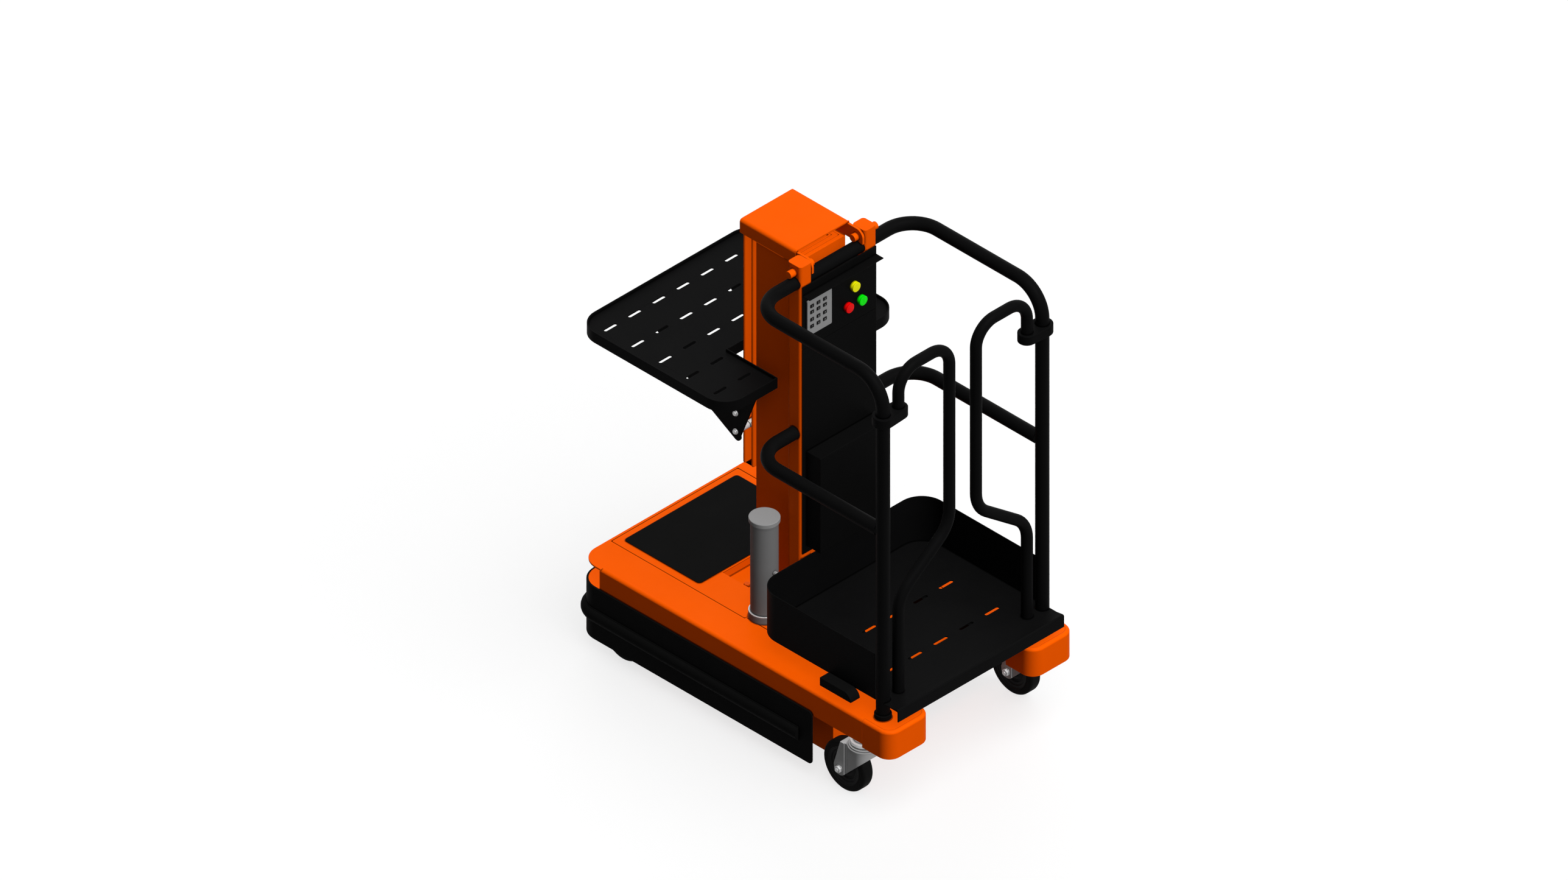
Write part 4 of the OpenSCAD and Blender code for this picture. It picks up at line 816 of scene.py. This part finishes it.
@dataclass
class Chassis:
    """The low frame with its covers, skirt, bumper and power unit."""

    shop: Workshop
    skirt_x: float = 370.0
    skirt_end: float = 1140.0
    skirt_r: float = 69.0
    bumper_front: float = 269.0
    bumper_z: float = 127.0
    bumper_side: Outline = ((0, 23), (2.5, 23), (3.2, 21.5), (3.2, 20.2), (6.5, 18.4), (10.8, 14.5),
                            (14.0, 9.2), (15.7, 3.3))
    tank_foot: Point = (-201.0, 573.0, 288.0)
    tank: Outline = ((0, 0), (45, 0), (45, 21.5), (43.8, 22.6), (39.5, 22.6), (39.5, 316), (40.6, 317),
                     (40.6, 323), (0, 323))
    ring: Outline = ((39.7, 22.8), (44.0, 22.8), (44.6, 23.2), (44.6, 24.2), (44.0, 24.6), (39.7, 24.6),
                     (39.7, 22.8))
    lid: Outline = ((0, 324.2), (44.4, 324.2), (44.4, 335.4), (43.6, 336.6), (42.4, 337), (0, 337))
    outlet: Outline = ((0, 0), (6.5, 0), (6.5, -4), (4.6, -4.5), (4.6, -8), (5.4, -8.4), (5.4, -10), (0, -10))
    outlet_out: float = 39.0
    outlet_z: float = 453.0
    plate_x: float = 242.0
    plate_ends: Tuple[float, float] = (150.0, 600.0)
    plate_seam: Tuple[float, float] = (3.0, 2.5)

    def build(self) -> None:
        """Build and dress every piece of the chassis."""
        shop = self.shop
        self.deck()
        shop.dress("base_pan", ORANGE, 1.5)
        shop.dress("corner_pads", ORANGE, 0.8)
        shop.dress("deck_cover", ORANGE, 1.6, 3)
        shop.dress("deck_mat", RUBBER, 1.2)
        shop.dress("skirt", SKIRT_BLACK, 1.5)
        self.bumper()
        self.power_unit()
        shop.dress("castor_plates", BRIGHT_ZINC, 0.5)
        shop.dress("castor_plate_bolts", ZINC, 0.5)
        shop.dress("fixed_wheel_forks", ZINC, 0.5)
        shop.dress("mast_foot_bolts", PAINTED_BOLT, 0.5)
        shop.dress("fixed_wheel_axles", BRIGHT_ZINC, 0.4)
        shop.dress("batteries", CASE, 4.0, 3)

    def deck(self) -> None:
        """Round the deck's edges and cut the seams of its front plate."""
        shop = self.shop
        piece = shop.from_node("deck_frame")
        shop.round_edges(piece, 0.8)
        width, depth = self.plate_seam
        start, end = self.plate_ends
        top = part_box("deck_frame")[1].z / MM
        for middle in (-self.plate_x, self.plate_x):
            shop.cut(piece, at(middle - width / 2, start, top - depth),
                     at(middle + width / 2, end, top + depth))
        shop.smooth(piece)
        shop.finish(piece, "chassis", ORANGE, ["deck_frame"])

    def bumper(self) -> None:
        """Sweep the bumper: a half-round strip on a thin flange, along both sides and round the end."""
        shop = self.shop
        profile = [(out, -up) for out, up in self.bumper_side] + list(reversed(self.bumper_side))
        points = [at(self.skirt_x + out, self.bumper_front, self.bumper_z + up) for out, up in profile]
        piece = shop.draw("bumper_strip", points, closed=True)
        bpy.ops.mesh.edge_face_add()
        bend_x, bend_y = self.skirt_x - self.skirt_r, self.skirt_end - self.skirt_r
        straight = (bend_y - self.bumper_front) * MM
        shop.run((0, straight, 0))
        for x, step in ((bend_x, (-2 * bend_x * MM, 0, 0)), (-bend_x, (0, -straight, 0))):
            bpy.ops.mesh.spin(steps=18, angle=-math.pi / 2, axis=UP, center=at(x, bend_y, 0))
            shop.run(step)
        shop.clean(piece)
        shop.round_edges(piece, 0.8, 2, 50)
        shop.smooth(piece, 40)
        shop.finish(piece, "chassis", RUBBER, ["bumper"])

    def power_unit(self) -> None:
        """Turn the tank, its clamp ring, lid and outlet."""
        foot = at(*self.tank_foot)
        side = at(self.tank_foot[0], self.tank_foot[1] - self.outlet_out, self.outlet_z)
        for name, outline, centre, axis, steps, angle, finish, nodes in (
                ("tank", self.tank, foot, "Z", 72, 25, TANK_GREY, ["power_unit"]),
                ("ring", self.ring, foot, "Z", 72, 30, BRIGHT_ZINC, []),
                ("lid", self.lid, foot, "Z", 72, 25, LID_GREY, ["power_unit_cap"]),
                ("outlet", self.outlet, side, "Y", 24, 30, ZINC, [])):
            piece = self.shop.turn("power_unit_" + name, outline, centre, axis, steps, angle)
            self.shop.finish(piece, "chassis", finish, nodes)


@dataclass
class Mast:
    """The nested lift sections, their pads, ram, hat and tray rails."""

    shop: Workshop

    def build(self) -> None:
        """Dress every piece of the mast."""
        shop = self.shop
        shop.dress("mast_column", ORANGE, 0.8)
        shop.dress("mast_middle_section", ORANGE, 0.6)
        shop.dress("mast_inner_section", ORANGE, 0.8)
        shop.dress("mast_hat", ORANGE, 0.8)
        shop.dress("tray_rails", ORANGE, 4.8, 5)
        for node in ("column_guide_pads", "middle_guide_pads", "inner_guide_pads"):
            shop.coat(node, NYLON)
        shop.coat("lift_cylinder_barrel", TANK_GREY)
        shop.coat("lift_plunger_lower", CHROME)
        shop.coat("lift_plunger_upper", CHROME)


@dataclass
class Carriage:
    """The uprights, console, platform and guard rails that rise with the mast."""

    shop: Workshop
    post_x: float = 311.0
    post_low: float = 304.5
    rail_z: float = 1420.0
    rail_r: float = 20.0
    bend: float = 95.0
    bar_y: float = 507.0
    mid_z: float = 915.0
    mid_start: float = 17.0
    upright_x: float = 149.0
    arm_end: Point = (0.0, -60.0, 310.0)
    arm_taper: float = 31.0
    key_columns: Tuple[float, ...] = (17.5, 42.5, 67.5)
    key_rows: Tuple[float, ...] = (96.0, 76.0, 51.0, 28.0)
    key_marks: str = "123456789*0#"
    mark_size: float = 8.5
    mark_depth: float = 0.1
    button_neck: float = 14.0
    buttons: Dict[str, Finish] = field(default_factory=lambda: {
        "button_yellow": YELLOW, "button_green": GREEN, "button_red": RED})

    def build(self) -> None:
        """Build and dress every piece of the carriage."""
        shop = self.shop
        for node in ("hanger_plates", "upright_left", "upright_right"):
            shop.dress(node, ORANGE, 1.0)
        shop.dress("hanger_pins", ORANGE, 1.5)
        for node, rounding in (("console_panel", 0.7), ("console_lower_panel", 0.7), ("control_box", 1.0),
                               ("front_box", 2.0)):
            shop.dress(node, PANEL_BLACK, rounding)
        self.platform()
        shop.dress("toe_board", BLACK_COAT, 0.8)
        shop.dress("post_feet", RUBBER, 2.0, 3)
        shop.dress("rail_clamps", BLACK_COAT, 2.0, 3)
        self.rails()
        self.keypad()
        for name, finish in self.buttons.items():
            self.button(name, finish)

    def platform(self) -> None:
        """Round the platform's sheet and taper its two arms' ends behind the front lip."""
        shop = self.shop
        piece = shop.from_node("platform_floor")
        limit = at(*self.arm_end)
        shop.edit(piece)
        shop.choose(piece, lambda vert: vert.co.y < limit.y and vert.co.z < limit.z)
        bpy.ops.transform.translate(value=(0, self.arm_taper * MM, 0))
        shop.object_mode()
        shop.round_edges(piece, 1.5, 3)
        shop.smooth(piece)
        shop.finish(piece, "carriage", BLACK_COAT, ["platform_floor"])

    def rails(self) -> None:
        """Bend the guard rail and the two mid rails."""
        shop, bend = self.shop, self.bend
        post = ("run", self.rail_z - bend - self.post_low)
        side = ("run", self.bar_y - 2 * bend)
        bar = ("run", 2 * (self.post_x - bend))
        corner = ("bend", bend, 90, -UP)
        rail = shop.tube("guard_rail", at(-self.post_x, 0, self.post_low), UP, self.rail_r,
                         [post, ("bend", bend, 90, -RIGHT), side, corner, bar, corner, side,
                          ("bend", bend, 90, RIGHT), post])
        shop.finish(rail, "carriage", BLACK_COAT, ["handrail"])
        halves = [shop.tube(name, at(sign * self.post_x, self.mid_start, self.mid_z), AHEAD, self.rail_r,
                            [("run", self.bar_y - bend - self.mid_start), ("bend", bend, 90, UP * sign),
                             ("run", self.post_x - bend - self.upright_x)])
                  for name, sign in (("mid_rail_left", -1), ("mid_rail_right", 1))]
        shop.finish(halves[0], "carriage", BLACK_COAT, ["mid_rails"])
        shop.finish(halves[1], "carriage", BLACK_COAT)

    def keypad(self) -> None:
        """Dress the keypad plate and its key mat, and mark each key."""
        shop = self.shop
        shop.dress("keypad_plate", KEYPAD, 0.4)
        shop.dress("key_mat", KEY, 0.6)
        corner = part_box("keypad_plate")[0]
        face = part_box("key_mat")[0].y - self.mark_depth * MM
        places = [Vector((corner.x + x * MM, face, corner.z + z * MM))
                  for z in self.key_rows for x in self.key_columns]
        marks = [self.mark(sign, place) for sign, place in zip(self.key_marks, places)]
        shop.pick(marks[0])
        for piece in marks:
            piece.select_set(True)
        bpy.ops.object.join()
        marks[0].name = "key_marks"
        shop.clean(marks[0])
        shop.finish(marks[0], "carriage", MARK)

    def mark(self, sign: str, place: Vector) -> Piece:
        """Print one plain sign on a key.

        Args:
            sign: The figure or sign.
            place: The middle of the key's face, in metres.

        Returns:
            The sign as a thin mesh in its place.
        """
        self.shop.object_mode()
        bpy.ops.object.text_add(location=place, rotation=(math.pi / 2, 0.0, 0.0))
        piece = bpy.context.object
        text = piece.data
        text.body, text.size, text.extrude = sign, self.mark_size * MM, self.mark_depth * MM
        text.align_x, text.align_y, text.resolution_u = "CENTER", "CENTER", 3
        bpy.ops.object.convert(target="MESH")
        self.shop.settle(piece)
        return piece

    def button(self, name: str, finish: Finish) -> None:
        """Turn one push-button with its face, the fine groove behind it and its stem.

        Args:
            name: The node that it stands for.
            finish: Its colour.
        """
        low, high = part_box(name)
        r = (high.x - low.x) / 2 / MM
        length = (high.y - low.y) / MM
        neck = length - self.button_neck
        outline = [(0, 0), (r - 3, 0.05), (r - 0.8, 0.3), (r - 0.1, 0.9), (r - 0.1, 1.3), (r - 0.8, 1.6),
                   (r - 0.8, 2.2), (r - 0.1, 2.5), (r - 0.05, neck), (r - 6, neck), (r - 6, length),
                   (0, length)]
        place = Vector(((low.x + high.x) / 2, low.y, (low.z + high.z) / 2))
        piece = self.shop.turn(name + "_cap", outline, place, "Y", 48, 30)
        self.shop.finish(piece, name, finish, [name])


@dataclass
class Gate:
    """One swing gate, bent from a single tube."""

    shop: Workshop
    side: int
    pivot_x: float = 251.0
    reach: float = 199.0
    knee: float = 464.0
    slope: float = 53.1301
    fall: float = 0.75
    floor: float = 348.0
    play: float = 0.5
    top: float = 1075.0
    clamp_low: float = 1279.0
    radius: float = 17.0
    bend: float = 70.0
    knee_bend: float = 100.0

    def build(self) -> None:
        """Bend the tube and put it on its own body."""
        tangent = self.knee_bend * math.tan(math.radians(self.slope / 2))
        hip = self.knee - self.fall * self.reach
        sloping = self.reach / math.sin(math.radians(self.slope))
        name = "gate_left" if self.side < 0 else "gate_right"
        lean = Vector((0, -self.side, 0))
        round_top = ("bend", self.bend, 90, -lean)
        moves = [("run", hip - self.play - tangent), ("bend", self.knee_bend, self.slope, lean),
                 ("run", sloping - 2 * tangent), ("bend", self.knee_bend, self.slope, -lean),
                 ("run", self.top - self.knee - tangent - self.bend), round_top,
                 ("run", self.reach - 2 * self.bend), round_top,
                 ("run", self.floor + self.top - self.bend - self.clamp_low)]
        piece = self.shop.tube(name + "_tube", at(self.side * self.pivot_x, 0, self.floor + self.play), UP,
                               self.radius, moves)
        self.shop.finish(piece, name, BLACK_COAT, [name])


@dataclass
class LoadTray:
    """The slotted tray with its brackets, rollers and bolts."""

    shop: Workshop

    def build(self) -> None:
        """Dress the tray's pieces."""
        shop = self.shop
        shop.dress("load_tray", BLACK_COAT, 1.0)
        shop.dress("tray_brackets", BLACK_COAT, 0.8)
        shop.dress("tray_rollers", NYLON, 1.5)
        shop.dress("tray_bolts", BRIGHT_ZINC, 0.8)


@dataclass
class Wheel:
    """A wheel: a tyre with round shoulders on a stepped hub.

    Attributes:
        shop: Where it is made.
        node: The node and the body that it stands for.
        x: Its middle.
        station: Its axle.
        radius: Outer radius.
        half: Half its width.
        tyre: One half of the tyre's outline, as radius and depth in from the side face.
        hub: One half of the hub's outline, in the same way.
    """

    shop: Workshop
    node: str
    x: float
    station: float
    radius: float = 80.0
    half: float = 20.0
    tyre: Outline = ((60, 0.6), (72, 0.2), (75.5, 1.2), (78.3, 3.4), (79.7, 6.4), (79.98, 11))
    hub: Outline = ((6.1, 0), (14, 0), (15, 1), (24, 1.4), (26.5, 6), (38, 11), (41, 10.4), (42.5, 6.4),
                    (49.5, 6.2), (51.5, 3.2), (58, 2.8), (60.2, 0.2))

    def build(self) -> None:
        """Turn the tyre and the hub."""
        centre = at(self.x, self.station, self.radius)
        for name, outline, side, angle, finish, nodes in (
                ("_tyre", self.tyre, -1, 35, TYRE, [self.node]), ("_hub", self.hub, 1, 30, HUB, [])):
            near = [(r, side * (self.half - depth)) for r, depth in outline]
            far = [(r, -h) for r, h in reversed(near)]
            piece = self.shop.turn(self.node + name, near + far + near[:1], centre, "X", 96, angle)
            self.shop.finish(piece, self.node, finish, nodes)


@dataclass
class Castor:
    """A swivel castor's pressed fork and axle."""

    shop: Workshop
    side: str

    def build(self) -> None:
        """Dress the fork and its axle."""
        self.shop.dress("castor_fork_" + self.side, ZINC, 0.8)
        self.shop.dress("castor_axle_" + self.side, BRIGHT_ZINC, 0.6)


@dataclass
class Studio:
    """The camera, the lamps and the pale floor.

    Attributes:
        back: From the object to the camera.
        right: To the right in the picture.
        up: Upwards in the picture.
        shift: Where the picture's middle is from the point between the posts, right and up, in metres.
        distance: How far away the camera is, in metres.
        clip_end: How far it sees, in metres.
        sky: Strength of the sky as a lamp.
        lamps: Name, energy, spread in degrees, direction and shadow of each lamp.
        floor_size: Width of the floor in metres.
        floor_seen: Tone of the floor in the picture.
        floor_thrown: Tone of the light that it throws back.
    """

    back: Point = (-0.57735, -0.57735, 0.57735)
    right: Point = (0.70711, -0.70711, 0.0)
    up: Point = (0.40825, 0.40825, 0.8165)
    shift: Tuple[float, float] = (-0.4932, 0.8723)
    distance: float = 9.0
    clip_end: float = 60.0
    sky: float = 0.05
    lamps: Tuple[Tuple[str, float, float, Point, bool], ...] = (
        ("Even key", 2.86, 20.0, (0.0, -0.55, 0.835), False),
        ("Soft key", 0.75, 70.0, (0.0, -0.55, 0.835), True),
        ("Rear fill", 1.1, 60.0, (0.7, 0.7, 0.02), True))
    floor_size: float = 60.0
    floor_seen: Colour = (0.97, 0.97, 0.97)
    floor_thrown: Colour = (0.045, 0.045, 0.045)

    def build(self) -> None:
        """Set up the camera, the light and the floor."""
        scene = bpy.context.scene
        scene.view_settings.view_transform = "Standard"
        self._camera(scene)
        self._light(scene)
        self._floor()

    def _camera(self, scene: bpy.types.Scene) -> None:
        """Stand the camera where the photograph's was.

        Args:
            scene: The scene that it takes.
        """
        back = Vector(self.back).normalized()
        middle = at(0, 0, 0) + Vector(self.right) * self.shift[0] + Vector(self.up) * self.shift[1]
        data = bpy.data.cameras.new("Studio camera")
        data.type = "ORTHO"
        data.ortho_scale = PHOTO_WIDTH / PHOTO_PX_PER_MM * MM
        data.clip_end = self.clip_end
        camera = bpy.data.objects.new("Studio camera", data)
        scene.collection.objects.link(camera)
        camera.rotation_mode = "QUATERNION"
        camera.rotation_quaternion = (-back).to_track_quat("-Z", "Y")
        camera.location = middle + back * self.distance
        scene.camera = camera

    @staticmethod
    def _rays(bench: NodeBench, *kinds: str) -> Socket:
        """Tell some kinds of ray from the rest.

        Args:
            bench: The bench to work on.
            *kinds: The Light Path node's outputs that count.

        Returns:
            1 for those rays and 0 for the others.
        """
        path = bench.add("ShaderNodeLightPath")
        seen = path.outputs[kinds[0]]
        for kind in kinds[1:]:
            seen = bench.math("ADD", seen, path.outputs[kind], clamp=True)
        return seen

    def _light(self, scene: bpy.types.Scene) -> None:
        """Hang an even key, a soft one for the shadows, a fill from behind and an even sky.

        Args:
            scene: The scene that they light.
        """
        for name, energy, spread, way, shadow in self.lamps:
            lamp = bpy.data.lights.new(name, "SUN")
            lamp.energy, lamp.angle, lamp.use_shadow = energy, math.radians(spread), shadow
            holder = bpy.data.objects.new(name, lamp)
            holder.rotation_mode = "QUATERNION"
            holder.rotation_quaternion = Vector(way).to_track_quat("Z", "Y")
            scene.collection.objects.link(holder)
        world = bpy.data.worlds.new("Soft room")
        scene.world = world
        world.use_nodes = True
        bench = NodeBench(world.node_tree)
        seen = self._rays(bench, "Is Camera Ray", "Is Transmission Ray", "Is Glossy Ray")
        bench.fill(bench.find("BACKGROUND"), {"Strength": bench.spread(seen, self.sky, 1.0),
                                              "Color": (1.0, 1.0, 1.0)})

    def _floor(self) -> None:
        """Lay a wide pale floor."""
        bpy.ops.object.select_all(action="DESELECT")
        bpy.ops.mesh.primitive_plane_add(size=self.floor_size, location=(0.0, 0.0, 0.0))
        floor = bpy.context.object
        floor.name = "Studio floor"
        material = bpy.data.materials.new("Pale floor")
        material.use_nodes = True
        bench = NodeBench(material.node_tree)
        seen = self._rays(bench, "Is Camera Ray", "Is Glossy Ray")
        bench.fill(bench.find("BSDF_PRINCIPLED"),
                   {"Base Color": bench.blend(seen, self.floor_thrown, self.floor_seen),
                    "Roughness": 0.9, "Specular IOR Level": 0.05})
        floor.data.materials.append(material)


def main() -> None:
    """Build the studio and every sub-assembly, and report each piece."""
    logging.basicConfig(level=logging.INFO, format="%(name)s: %(message)s")
    Studio().build()
    shop = Workshop(FinishShop())
    assemblies: List[object] = [
        Chassis(shop), Mast(shop), Carriage(shop), Gate(shop, -1), Gate(shop, 1), LoadTray(shop),
        Castor(shop, "left"), Castor(shop, "right"),
        Wheel(shop, "castor_wheel_left", -327, 119), Wheel(shop, "castor_wheel_right", 327, 119),
        Wheel(shop, "fixed_wheel_left", -319, 991), Wheel(shop, "fixed_wheel_right", 319, 991)]
    for assembly in assemblies:
        assembly.build()
    shop.dress("pedal", RUBBER, 2.0, 3)
    LOG.info("%d pieces made", shop.count)


if __name__ == "__main__":
    main()
